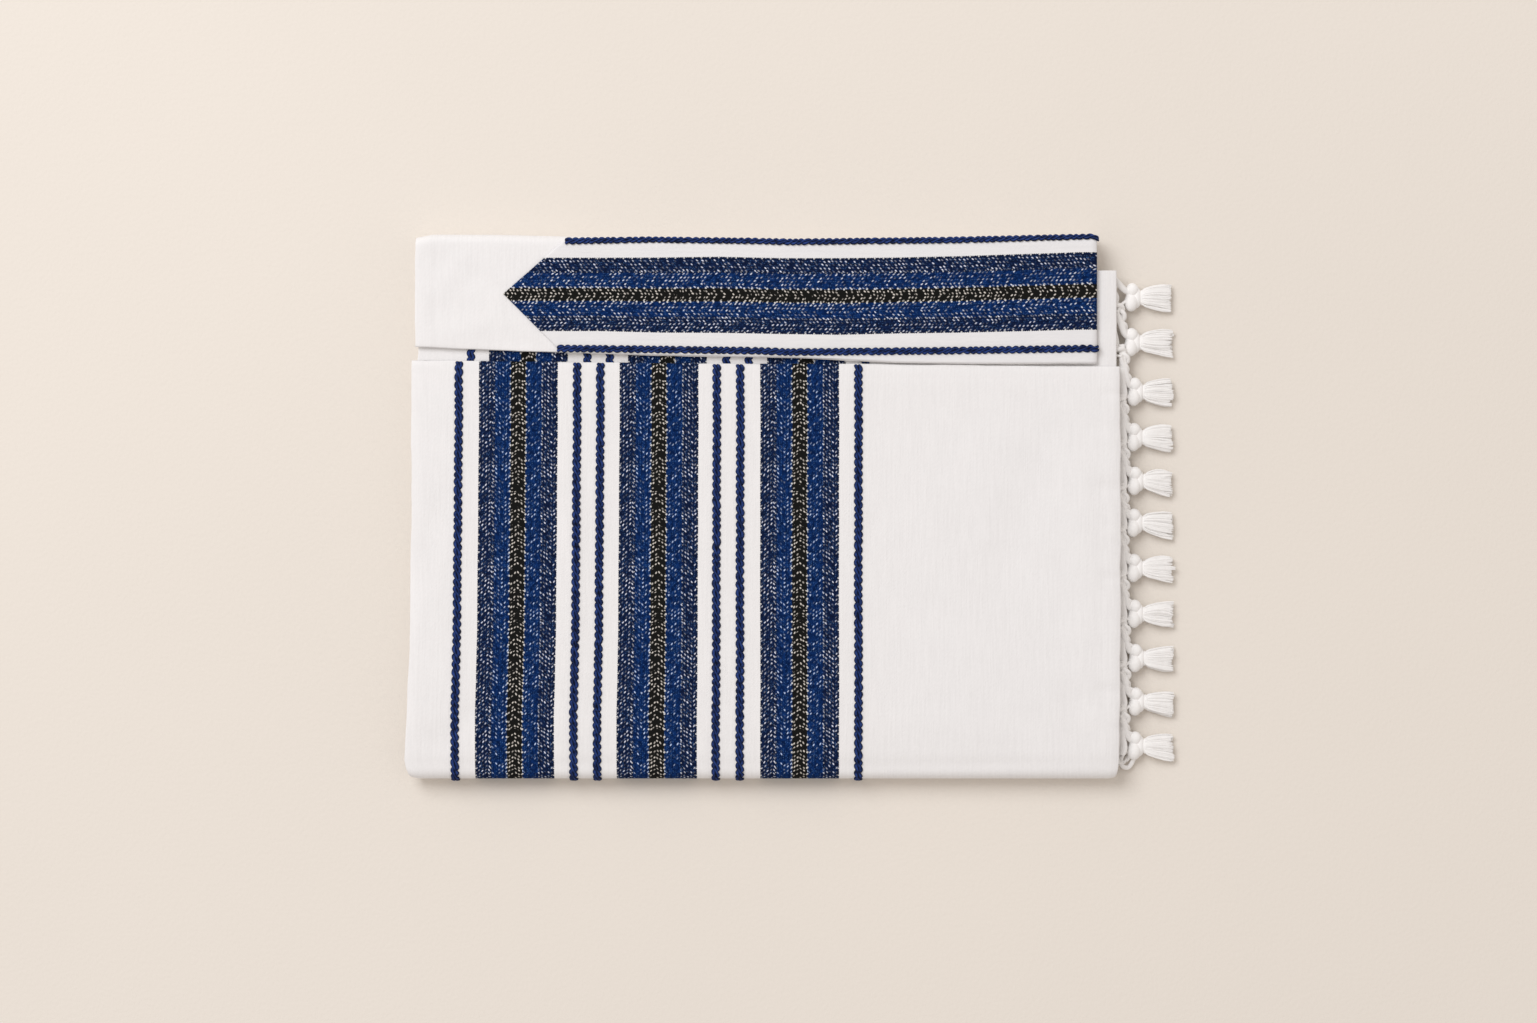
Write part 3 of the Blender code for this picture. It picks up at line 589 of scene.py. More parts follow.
@dataclass(frozen=True)
class Weave:
    """Soft white cloth with woven bands: navy with pale flecks, and a black stripe in the middle.

    Bands repeat across the cloth, u, and run along it, v. The last band's middle is at `last`. The flecks
    are thread floats in loose cells, and `bare` is the share of cells without one, in a band's inner part
    and in its outer part. A herringbone column is `column` wide and its rows rise by `slant`.
    """

    name: str
    last: float = 0.0
    pitch: float = 71.4 * MM
    bands: int = 1
    width: float = 40.0 * MM
    dark_width: float = 7.7 * MM
    white: Colour = (0.88, 0.87, 0.87)
    shade: Colour = (0.835, 0.825, 0.825)
    navy: Colour = (0.0040, 0.0080, 0.029)
    navy_light: Colour = (0.0060, 0.017, 0.068)
    blue: Colour = (0.0020, 0.0105, 0.052)
    blue_light: Colour = (0.0045, 0.030, 0.140)
    pale: Colour = (0.12, 0.29, 0.64)
    fleck: Colour = (0.82, 0.86, 1.0)
    inner_fleck: Colour = (0.58, 0.72, 1.0)
    black: Colour = (0.0095, 0.0095, 0.0090)
    cream: Colour = (0.82, 0.77, 0.70)
    dot_colour: Colour = (0.80, 0.80, 0.78)
    warp: float = 0.62 * MM
    weft: float = 0.58 * MM
    twill: float = 1.05 * MM
    notches: float = 1.15 * MM
    tide: float = 4.1 * MM
    fine_cell: tuple[float, float] = (1.1 * MM, 1.0 * MM)
    coarse_cell: tuple[float, float] = (1.65 * MM, 2.15 * MM)
    cream_cell: tuple[float, float] = (1.6 * MM, 2.0 * MM)
    soft: float = 0.1 * MM
    column: float = 6.3 * MM
    slant: float = 0.75
    bare: tuple[float, float] = (0.44, 0.13)
    crepe: float = 0.14 * MM

    def ground(self, w: Wiring, u: object, v: object) -> tuple[object, object]:
        """White creped cloth: streaky diagonal noise over a fine plain weave.

        Args:
            w: The node tree.
            u: Place across the cloth.
            v: Place along the cloth.

        Returns:
            The colour and a height from 0 to 1.
        """
        slant = w.times_plus(v, -0.8, u)
        cross = w.times_plus(u, 0.8, v)
        streak = w.noise(w.scaled(slant, cross, 1150.0, 300.0), 1.0, 3, 0.6)
        broad = w.noise(w.vector(u, v), 60.0, 3, 0.55)
        thread = w.times(w.wave(u, self.warp), w.wave(v, self.weft))
        slub = w.noise(w.scaled(u, v, 900.0, 45.0), 1.0, 2, 0.6)
        mixed = w.times_plus(slub, 0.7, w.times(streak, 0.6))
        height = w.times_plus(thread, 0.09, w.times_plus(broad, 0.3, mixed))
        share = w.step(w.times_plus(mixed, 0.62, w.times(broad, 0.2)), 0.66, 0.34)
        return w.mix(share, self.white, self.shade), height

    def herringbone(self, w: Wiring, d: object, v: object) -> Socket:
        """Slanted rows that turn back in upright columns and stray a little.

        v is sheared by a zigzag of d, a column wide each way, so the rows slant down and up in turn.

        Args:
            w: The node tree.
            d: Place across the band.
            v: Place along the band.

        Returns:
            Place across the slanted rows.
        """
        stray = w.noise(w.vector(d, v), 110.0, 2, 0.5)
        moved = w.times_plus(stray, 1.4 * MM, v)
        drift = w.noise(w.vector(v, d, 3.0), 60.0, 1, 0.4)
        zigzag = w.math("PINGPONG", w.times_plus(drift, 2.5 * MM, d), self.column)
        return w.times_plus(zigzag, self.slant, moved)

    def dark_stripe(self, w: Wiring, d: object, away: object, v: object) -> tuple[object, object]:
        """The black middle stripe with cream flecks in loose arrow rows.

        Args:
            w: The node tree.
            d: Signed distance across the band.
            away: The same without its sign.
            v: Place along the band.

        Returns:
            The colour, and the flecks' height from 0 to 1.
        """
        stray = w.noise(w.vector(d, v, 5.0), 90.0, 2, 0.5)
        arrow = w.times_plus(stray, 3.5 * MM, w.times_plus(away, 0.55, v))
        cream, (k1, k2, _) = w.flecks(d, arrow, self.cream_cell, 0.45)
        cluster = w.step(w.times_plus(w.wave(arrow, self.tide), 0.40, k1), 0.30, 0.42)
        seeds = w.times(w.step(cream, 0.62 * MM, 0.28 * MM), cluster)
        seeds = w.times(seeds, w.times_plus(k2, 0.55, 0.40))
        return w.mix(seeds, self.black, self.cream), seeds

    def band(self, w: Wiring, d: object, v: object) -> tuple[object, object]:
        """A band's colour and height, from the distance d to its middle line.

        Args:
            w: The node tree.
            d: Signed distance across the band.
            v: Place along the band.

        Returns:
            The colour and a height from 0 to 1.
        """
        away = w.math("ABSOLUTE", d)
        ragged = w.times_plus(w.noise(w.vector(d, v, 9.0), 300.0, 2, 0.5), 1.6 * MM, away)
        outer = w.step(ragged, self.width * 0.30, self.width * 0.33)
        clouds = w.noise(w.vector(w.times(d, 1.6), v), 420.0, 3, 0.7)
        share = w.step(clouds, 0.36, 0.68)
        inner_base = w.mix(share, self.blue, self.blue_light)
        outer_base = w.mix(share, self.navy, self.navy_light)
        colour = w.mix(outer, inner_base, outer_base)

        rows = self.herringbone(w, d, v)
        fine, (f1, f2, _) = w.flecks(d, rows, self.fine_cell, 0.8)
        small = w.times(w.step(fine, 0.36 * MM, 0.16 * MM), w.step(f1, 0.3, 0.5))
        small = w.times(small, w.times_plus(f2, 0.32, 0.04))
        colour = w.mix(small, colour, self.pale)
        coarse, (c1, c2, _) = w.flecks(d, rows, self.coarse_cell, 0.45)
        ribs = w.noise(w.scaled(d, v, 650.0, 4.0), 1.0, 1, 0.5)
        bare = w.times_plus(outer, self.bare[1] - self.bare[0], self.bare[0] + 0.1)
        limit = w.times_plus(ribs, -0.2, bare)
        present = w.step(c1, limit, w.math("ADD", limit, 0.05))
        large = w.times(w.step(coarse, 0.62 * MM, 0.26 * MM), present)
        strength = w.times_plus(w.math("POWER", c2, 1.3), 0.95, 0.05)
        fleck = w.mix(outer, self.inner_fleck, self.fleck)
        colour = w.mix(w.times(large, strength), colour, fleck)
        lifted = w.math("MAXIMUM", small, large)

        half, half_dark = self.width / 2, self.dark_width / 2
        dark = w.step(away, half_dark + 0.15 * MM, half_dark - 0.15 * MM)
        middle, seeds = self.dark_stripe(w, d, away, v)
        colour = w.mix(dark, colour, middle)
        lifted = w.split(w.mix(dark, w.vector(lifted, 0.0), w.vector(seeds, 0.0)))[0]

        rim = w.step(away, half - 1.3 * MM, half - 0.5 * MM)
        colour = w.mix(w.times(rim, 0.6), colour, self.navy)
        inner_dots = w.dot_row(away, half_dark + 0.1 * MM, v, 3.9 * MM, 0.5 * MM)
        shifted = w.math("ADD", v, 0.7 * MM)
        middle_dots = w.dot_row(away, self.width * 0.305, shifted, 2.7 * MM, 0.36 * MM)
        shifted = w.math("ADD", v, 1.1 * MM)
        outer_dots = w.dot_row(away, half - 0.3 * MM, shifted, 4.4 * MM, 0.45 * MM)
        dots = w.math("MAXIMUM", inner_dots, w.times(outer_dots, 0.9))
        dots = w.math("MAXIMUM", dots, w.times(middle_dots, w.times(c2, 0.8)))
        colour = w.mix(w.times(dots, 0.85), colour, self.dot_colour)
        twill = w.wave(w.math("ADD", d, v), self.twill)
        height = w.times_plus(twill, 0.16, w.times_plus(clouds, 0.3, lifted))
        return colour, height

    def material(self) -> Material:
        """Wire the cloth: white ground, with its bands, if it has any, laid over it.

        Returns:
            The finished material.
        """
        w = Wiring(self.name)
        u, v, _ = w.cloth_place()
        colour, height = self.ground(w, u, v)
        if self.bands:
            offset = w.math("SUBTRACT", u, self.last)
            d = w.math("WRAP", offset, self.pitch / 2, -self.pitch / 2)
            after = w.math("GREATER_THAN", offset, -(self.bands - 0.5) * self.pitch)
            within = w.times(after, w.math("LESS_THAN", offset, self.pitch / 2))
            band, band_height = self.band(w, d, v)
            ragged = w.times(w.wave(v, self.notches), 0.09 * MM)
            edge = w.math("ADD", w.math("ABSOLUTE", d), ragged)
            half = self.width / 2
            inside = w.times(within, w.step(edge, half + self.soft, half - self.soft))
            colour = w.mix(inside, colour, band)
            height = w.split(w.mix(inside, w.vector(height, 0.0), w.vector(band_height, 0.0)))[0]
        return w.finish(colour, w.bump(height, self.crepe * 1.6), rough=0.95, sheen=0.0, gloss=0.05)


@dataclass(frozen=True)
class Yarn:
    """Spun yarn: fine fibres that lie slanted round it, with painted light on top of each ply and painted
    shade at its sides.
    """

    name: str
    light: Colour
    dark: Colour
    sheen: float
    # how strongly the colour is painted light on each ply's top and painted shade at its sides, 0 to 1
    painted_top_light: float = 0.0
    fibre: float = 0.3 * MM
    depth: float = 0.06 * MM

    def material(self) -> Material:
        """Wire the yarn's slanted fibres and the painted light and shade round each ply.

        Returns:
            The finished material.
        """
        w = Wiring(self.name)
        u, v, _ = w.cloth_place()
        slanted = w.vector(w.times_plus(v, 0.8, u), w.times(v, 0.12))
        fibres = w.noise(slanted, 1 / self.fibre, 3, 0.6)
        place = w.node("ShaderNodeTexCoord").outputs["Object"]
        cloud = w.noise(place, 420.0, 2, 0.5)
        share = w.step(w.times_plus(cloud, 0.6, w.times(fibres, 0.6)), 0.4, 0.78)
        # painted light on top of each ply and painted shade at its sides, from the sine of the turn round the
        # tube
        top = w.step(w.math("SINE", w.times(u, 1 / MM)), 0.55, 1.0)
        share = w.times(share, w.times_plus(top, self.painted_top_light, 1 - self.painted_top_light))
        colour = w.mix(share, self.dark, self.light)
        return w.finish(colour, w.bump(fibres, self.depth), rough=0.85, sheen=self.sheen, gloss=0.15)


SHAWL_WEAVE = Weave("shawl_weave", last=4.8 * MM, bands=3)
INNER_WEAVE = Weave("inner_fold_weave", last=8.5 * MM, pitch=70.6 * MM, bands=3)
PLAIN_WEAVE = Weave("collar_cloth", bands=0)
NECKBAND_WEAVE = Weave(
    "neckband_weave",
    pitch=120 * MM,
    width=37.3 * MM,
    dark_width=6.6 * MM,
    bare=(0.32, 0.24),
    inner_fleck=(0.80, 0.86, 1.0),
    white=(0.83, 0.825, 0.83),
    shade=(0.79, 0.785, 0.80),
)
# the navy yarn's light colour is mostly painted light on the ply tops, its dark colour painted shade at the
# ply sides
NAVY_YARN = Yarn("navy_braid_yarn", (0.024, 0.058, 0.235), (0.0012, 0.003, 0.016), 0.02, painted_top_light=0.9)
WHITE_YARN = Yarn("white_fringe_yarn", (0.95, 0.94, 0.93), (0.92, 0.905, 0.89), 0.4)


# The folded form


@dataclass(frozen=True)
class Fold:
    """The round closed edge of the pack: half a superellipse from the top cloth down to the table."""

    way: int
    bulge: float
    squareness: float
    top: float

    def section(self, turn: Array) -> tuple[Array, Array, Array, Array]:
        """Reach, height and outward slope at turns from 0, the top, to pi, the foot.

        A superellipse has reach = bulge * sin^(2/n) and height = half * cos^(2/n), and the way out is the
        slope of reach^n + height^n.

        Args:
            turn: The turns.

        Returns:
            Reach past the flat cloth, height over the table, and the two parts of the way out.
        """
        power = 2 / self.squareness
        sine, cosine = np.clip(np.sin(turn), 0, 1), np.cos(turn)
        half = self.top / 2
        reach = self.bulge * sine**power
        rise = half * np.sign(cosine) * np.abs(cosine) ** power
        steep = self.squareness - 1
        out = (reach / self.bulge) ** steep / self.bulge
        up = np.sign(rise) * (np.abs(rise) / half) ** steep / half
        length = np.hypot(out, up)
        return reach, rise + half, out / length, up / length

    def turns(self) -> tuple[Array, Array]:
        """The length run round the fold, and the turn that it has reached there.

        Returns:
            Both, as arrays of the same length.
        """
        turn = np.linspace(0, math.pi, 721)
        reach, height, _, _ = self.section(turn)
        run = np.concatenate([[0.0], np.cumsum(np.hypot(np.diff(reach), np.diff(height)))])
        return run, turn

    def room(self, height: Array, clear: float) -> Array:
        """How far a layer at a height reaches into the fold and stays clear of its cloth.

        Args:
            height: The layer's height over the table.
            clear: How far it stays off.

        Returns:
            The reach past the flat cloth.
        """
        middle, half = (TOP_BASE + CLOTH) / 2, (TOP_BASE - CLOTH) / 2
        filled = np.clip(np.abs(height - middle) / half, 0, 1) ** self.squareness
        return (self.bulge - CLOTH) * (1 - filled) ** (1 / self.squareness) - clear


FRONT_FOLD = Fold(way=-1, bulge=6.0 * MM, squareness=2.2, top=PANEL_TOP)
BACK_FOLD = Fold(way=1, bulge=5.0 * MM, squareness=2.5, top=FLAP_TOP)


@dataclass(frozen=True)
class Wrap:
    """A flap of cloth: flat from its free edge, round its fold, then tucked under the pack."""

    fold: Fold

    def edge_y(self, x: Array) -> Array:
        """Where the free edge lies.

        Args:
            x: Places across.

        Returns:
            Its y there.
        """
        if self.fold.way < 0:
            return from_table(PANEL_UPPER_EDGE, "x", "y", x)
        return from_table(FLAP_EDGES, "x", "lower", x)

    def flat_y(self, x: Array) -> Array:
        """Where the flat cloth ends and the fold begins.

        Args:
            x: Places across.

        Returns:
            The y there.
        """
        if self.fold.way < 0:
            return np.full_like(np.asarray(x, dtype=float), FRONT_FLAT_Y)
        return from_table(FLAP_EDGES, "x", "back", x) - self.fold.bulge

    def at(self, x: Array, run: Array, lift: Array) -> tuple[Array, Array]:
        """Points lifted off the cloth, and the way out there.

        On the flat cloth the run is y itself. Past the fold it goes on by the length run round it.

        Args:
            x: Places across.
            run: Places along, in the same shape.
            lift: Height off the outer side.

        Returns:
            Points and unit vectors.
        """
        way = self.fold.way
        flat = self.flat_y(x)
        past = (run - flat) * way
        runs, turns = self.fold.turns()
        turn = np.interp(past, runs, turns)
        reach, height, out, up = self.fold.section(turn)
        under = np.clip(past - runs[-1], 0, None)
        y = np.where(past <= 0, run, flat + way * (reach - under))
        z = np.where(past <= 0, self.fold.top, height)
        out = np.where(past <= 0, 0.0, out)
        up = np.where(past <= 0, 1.0, up)
        ways = np.stack([np.zeros_like(y), way * out, up], axis=-1)
        return np.stack([x, y, z], axis=-1) + ways * lift[..., None], ways

    def end_run(self, x: Array) -> Array:
        """The run at the tucked end.

        Args:
            x: Places across.

        Returns:
            The run there.
        """
        flat = self.flat_y(x)
        length = self.fold.turns()[0][-1] + np.abs(flat) - TUCK_END
        return flat + self.fold.way * length

    def two_sides(
        self, x: Array, run: Array, rise: Array, reach: tuple[Array, Array], thick: float, edge: float
    ) -> tuple[Array, Array]:
        """The two sides of a cloth laid on this form, its outer side rounded down to the inner at its edges.

        Args:
            x: Places across.
            run: Places along.
            rise: Height of the outer side off the form.
            reach: Distance to the nearest side edge and to the nearest end.
            thick: The cloth's thickness.
            edge: How far in the rounding reaches.

        Returns:
            Points of the outer and of the inner side.
        """
        steep = thick / edge
        sink = edge_sink(reach[0] * steep, reach[1] * steep, thick)
        base, out = self.at(x, run, rise)
        return base - out * sink[..., None], base - out * thick


@dataclass(frozen=True)
class Crease:
    """A soft trough or ridge in the cloth, from one place to another, in millimetres."""

    start: tuple[float, float]
    end: tuple[float, float]
    wide: float
    deep: float

    def relief(self, x: Array, y: Array) -> Array:
        """Its height: a bell across the line, faded towards its two ends.

        Args:
            x: Places across, in metres.
            y: Places along, in metres.

        Returns:
            The height in metres.
        """
        a, b = np.array(self.start) * MM, np.array(self.end) * MM
        length = np.linalg.norm(b - a)
        way = (b - a) / length
        along = (x - a[0]) * way[0] + (y - a[1]) * way[1]
        across = (x - a[0]) * -way[1] + (y - a[1]) * way[0]
        fade = smooth_step(along, 0, length * 0.35) * (1 - smooth_step(along, length * 0.65, length))
        return self.deep * MM * fade * np.exp(-((across / (self.wide * MM)) ** 2))


PANEL_CREASES = (
    Crease((-190, -128), (-150, -96), 9.0, -0.75),
    Crease((-196, -60), (-172, 20), 8.0, -0.55),
    Crease((-186, -134), (-60, -129), 3.5, -0.30),
    Crease((-20, -134), (150, -130), 3.0, -0.28),
    Crease((134, 54), (102, -64), 13.0, -0.85),
    Crease((70, -48), (104, -132), 15.0, 0.65),
    Crease((52, 62), (96, 20), 12.0, -0.45),
    Crease((60, 10), (92, -60), 10.0, 0.40),
    Crease((150, 40), (152, -110), 8.0, 0.50),
    Crease((140, -84), (150, -132), 8.0, -0.50),
    Crease((60, -96), (150, -116), 9.0, -0.30),
    Crease((156, 59), (171, 56), 2.6, -0.50),
    Crease((150, 36), (171, 32), 3.0, 0.30),
    Crease((154, 12), (171, 7), 3.4, -0.60),
    Crease((156, -14), (171, -15), 3.0, 0.30),
    Crease((156, -34), (171, -38), 2.6, -0.50),
    Crease((153, -92), (171, -95), 3.0, -0.60),
    Crease((150, -104), (171, -110), 3.0, 0.30),
    Crease((-118, 66), (-104, -120), 6.0, 0.40),
)
FLAP_CREASES = (
    Crease((-188, 132), (-150, 108), 7.0, -0.55),
    Crease((-190, 84), (-140, 96), 6.0, 0.45),
    Crease((-186, 100), (-158, 134), 6.0, 0.40),
    Crease((-150, 84), (-120, 80), 3.5, -0.30),
    Crease((-149, 110), (-142, 113), 1.6, -0.25),
    Crease((-146, 92), (-132, 80), 3.0, -0.35),
)


def creased(creases: tuple[Crease, ...], x: Array, y: Array) -> Array:
    """The summed relief of a few creases."""
    return sum(crease.relief(x, y) for crease in creases)


def hem(inward: Array, wide: float) -> Array:
    """A turned-in edge: raised from the edge to its width, then a shallow sewn groove."""
    ridge = HEM_HEIGHT * (1 - smooth_step(inward, wide - 1.2 * MM, wide + 0.4 * MM))
    return ridge - 0.6 * HEM_HEIGHT * np.exp(-(((inward - wide - 0.5 * MM) / (0.9 * MM)) ** 2))


# Pieces of cloth


def plate(
    x: Array, y: Array, top: Array, thick: float, reach: tuple[Array, Array]
) -> tuple[Array, Array]:
    """The two sides of a flat cloth whose edges are rounded from both faces.

    Args:
        x: Places across.
        y: Places along.
        top: The height of its upper face.
        thick: Its thickness.
        reach: Distance to the nearest side edge and to the nearest end.

    Returns:
        Points of the upper and of the lower side.
    """
    sink = edge_sink(reach[0], reach[1], thick / 2)
    outer = np.stack([x, y, top - sink], axis=-1)
    inner = np.stack([x, y, top - thick + sink], axis=-1)
    return outer, inner


@dataclass
class FrontPanel:
    """The front flap with its three bands, round the front fold and under the pack."""

    wrap: Wrap = field(default_factory=lambda: Wrap(FRONT_FOLD))
    thick: float = 1.2 * MM
    columns: int = 190
    rows: int = 138
    nominal: tuple[float, float] = (-192.7 * MM, 167.7 * MM)
    length: float = 0.24
    swell: float = 0.9 * MM
    shoulder: float = 0.75 * MM
    edge: float = 0.7 * MM
    upper_hem: float = 6.2 * MM
    right_hem: float = 8.8 * MM
    left_droop: tuple[float, float] = (0.85 * MM, 5.0 * MM)
    right_droop: tuple[float, float] = (0.60 * MM, 3.5 * MM)

    def sides(self, run: Array) -> tuple[Array, Array]:
        """Left and right edge in each row.

        Args:
            run: Places along.

        Returns:
            The x of both.
        """
        past = FRONT_FLAT_Y - run
        runs, turns = self.wrap.fold.turns()
        turn = np.degrees(np.interp(past, runs, turns)) * MM
        flat = [from_table(PANEL_SIDES, "y", side, run) for side in ("left", "right")]
        round_fold = [from_table(FOLD_SIDES, "turn", side, turn) for side in ("left", "right")]
        left, right = (np.where(past <= 0, a, b) for a, b in zip(flat, round_fold))
        return left + wander(run, 3, 0.06, 0.25 * MM), right + wander(run, 4, 0.05, 0.25 * MM)

    def lean(self, x: Array, run: Array) -> Array:
        """How far the stripes stray to the left: more towards the front fold.

        Args:
            x: Places across.
            run: Places along.

        Returns:
            The distance.
        """
        top = self.wrap.edge_y(x)
        share = np.clip((top - run) / (top - FRONT_FLAT_Y), 0, 1)
        growth = from_table(LEAN_GROWTH, "share", "growth", share)
        return growth * from_table(STRIPE_LEAN, "x", "lean", x) + wander(run, 11, 0.11, 0.12 * MM)

    def relief(self, x: Array, run: Array) -> Array:
        """The flap's rise over its flat form: a low swell, soft creases and a slight unevenness.

        Args:
            x: Places across.
            run: Places along.

        Returns:
            The rise.
        """
        top = self.wrap.edge_y(x)
        share = np.clip((top - run) / (top - FRONT_FLAT_Y), 0, 1)
        near = np.clip((top - run) / (11 * MM), 0, 1)
        swell = self.swell * (1 - (1 - near) ** 2) * (1 - smooth_step(share, 0.88, 1.0))
        left, right = self.sides(run)
        swell = swell + hem(top - run, self.upper_hem)
        swell = swell + hem(right - x, self.right_hem) * (1 - smooth_step(share, 0.9, 1.0))
        for inward, (deep, wide) in ((x - left, self.left_droop), (right - x, self.right_droop)):
            swell = swell - deep * (1 - smooth_step(inward, 0, wide))
        past = FRONT_FLAT_Y - run
        shoulder = smooth_step(past, -7.5 * MM, 1.0 * MM) * (1 - smooth_step(past, 1.0 * MM, 8.0 * MM))
        swell = swell - self.shoulder * shoulder
        uneven = wander(x + 0.7 * run, 21, 0.13, 0.12 * MM) * wander(run - 0.4 * x, 22, 0.09, 1.0)
        return swell + creased(PANEL_CREASES, x, run) + uneven * np.sin(math.pi * np.clip(share, 0.04, 0.96))

    def build(self, weave: Material) -> Piece:
        """Make the flap as one thin shell.

        Args:
            weave: Its finish.

        Returns:
            The piece.
        """
        share = rounded_columns(0.0, 1.0, self.rows, self.edge / self.length)
        nominal = rounded_columns(*self.nominal, self.columns, self.edge)
        x0 = np.broadcast_to(nominal, (len(share), len(nominal)))
        start = self.wrap.edge_y(x0)
        stop = self.wrap.end_run(x0)
        run = start + (stop - start) * share[:, None]
        left, right = self.sides(run)
        part = (x0 - nominal[0]) / (nominal[-1] - nominal[0])
        x = x0 + (left - nominal[0]) * (1 - part) + (right - nominal[-1]) * part
        start = start + wander(x, 5, 0.07, 0.25 * MM) * (1 - share[:, None])
        reach = (np.minimum(x - left, right - x), np.minimum(start - run, run - stop))
        outer, inner = self.wrap.two_sides(x, run, self.relief(x, run), reach, self.thick, self.edge)
        uv = np.stack([x + self.lean(x, run), run], axis=-1)
        piece = shell(outer, inner, uv).piece("front_panel_cloth", weave, Slot.CLOTH)
        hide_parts("front_panel")
        return piece

    def braid_line(self, at: float, count: int) -> tuple[Array, Array, Array]:
        """A braid's middle line down the flap and round the fold, the way out and the run along it.

        Args:
            at: The braid's x at the flap's free edge.
            count: How many points it gets.

        Returns:
            The points, the unit vectors and the run.
        """
        first = float(self.wrap.edge_y(np.array(at))) - 0.4 * MM
        runs, turns = self.wrap.fold.turns()
        last = FRONT_FLAT_Y - float(np.interp(math.radians(128), turns, runs))
        run = np.linspace(first, last, count)
        x = np.full_like(run, at)
        x = x - self.lean(x, run)
        line, out = self.wrap.at(x, run, self.relief(x, run))
        return line, out, first - run


@dataclass
class CollarFlap:
    """The doubled flap that comes down from the back fold, as two cloths."""

    wrap: Wrap = field(default_factory=lambda: Wrap(BACK_FOLD))
    left: float = -190.7 * MM
    right: float = 155.0 * MM
    length: float = 0.1
    thick: float = 1.15 * MM
    seam: float = 0.06 * MM
    edge: float = 0.6 * MM
    left_hem: float = 9.4 * MM
    columns: int = 180
    rows: int = 64

    def relief(self, x: Array, run: Array) -> Array:
        """Soft creases at its plain end, and a slight unevenness.

        Args:
            x: Places across.
            run: Places along.

        Returns:
            The rise over the flat form.
        """
        uneven = wander(x + 0.5 * run, 31, 0.10, 0.12 * MM) * wander(run - 0.6 * x, 32, 0.06, 1.0)
        upper = 1 - smooth_step(run - self.wrap.flat_y(x), 1.0 * MM, 9.0 * MM)
        left = 0.45 * MM * (1 - smooth_step(x - self.left, 0, 3.0 * MM))
        return (creased(FLAP_CREASES, x, run) + uneven + hem(x - self.left, self.left_hem) - left) * upper

    def cloth(self, depth: float, inset: float) -> tuple[Form, float]:
        """One of the two cloths.

        Args:
            depth: How far it lies under the outer side.
            inset: How far its edges stay in.

        Returns:
            The closed shell and its mean length along the run.
        """
        share = rounded_columns(0.0, 1.0, self.rows, self.edge / self.length)
        places = rounded_columns(self.left + inset, self.right - inset, self.columns, self.edge)
        x0 = np.broadcast_to(places, (len(share), len(places)))
        stop = self.wrap.edge_y(x0) + inset + wander(x0, 35, 0.08, 0.2 * MM)
        start = self.wrap.end_run(x0)
        run = start + (stop - start) * share[:, None]
        x = x0 + wander(run, 36, 0.05, 0.2 * MM) * np.sign(x0) * smooth_step(np.abs(x0), 0.12, 0.15)
        rise = self.relief(x, run) - depth
        reach = (np.minimum(x0 - places[0], places[-1] - x0), np.minimum(start - run, run - stop))
        outer, inner = self.wrap.two_sides(x, run, rise, reach, self.thick, self.edge)
        return shell(outer, inner, np.stack([x, run], axis=-1)), float((start - stop).mean())

    def build(self, weave: Material) -> list[Piece]:
        """Make both cloths of the flap.

        Args:
            weave: Their finish.

        Returns:
            The two pieces, the upper one first.
        """
        top, length = self.cloth(0.0, 0.0)
        under, _ = self.cloth(self.thick + self.seam, 0.4 * MM)
        pieces = [
            top.piece("collar_flap_cloth", weave, Slot.CLOTH),
            under.piece("collar_flap_second_cloth", weave, Slot.CLOTH),
        ]
        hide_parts("collar_flap")
        return pieces


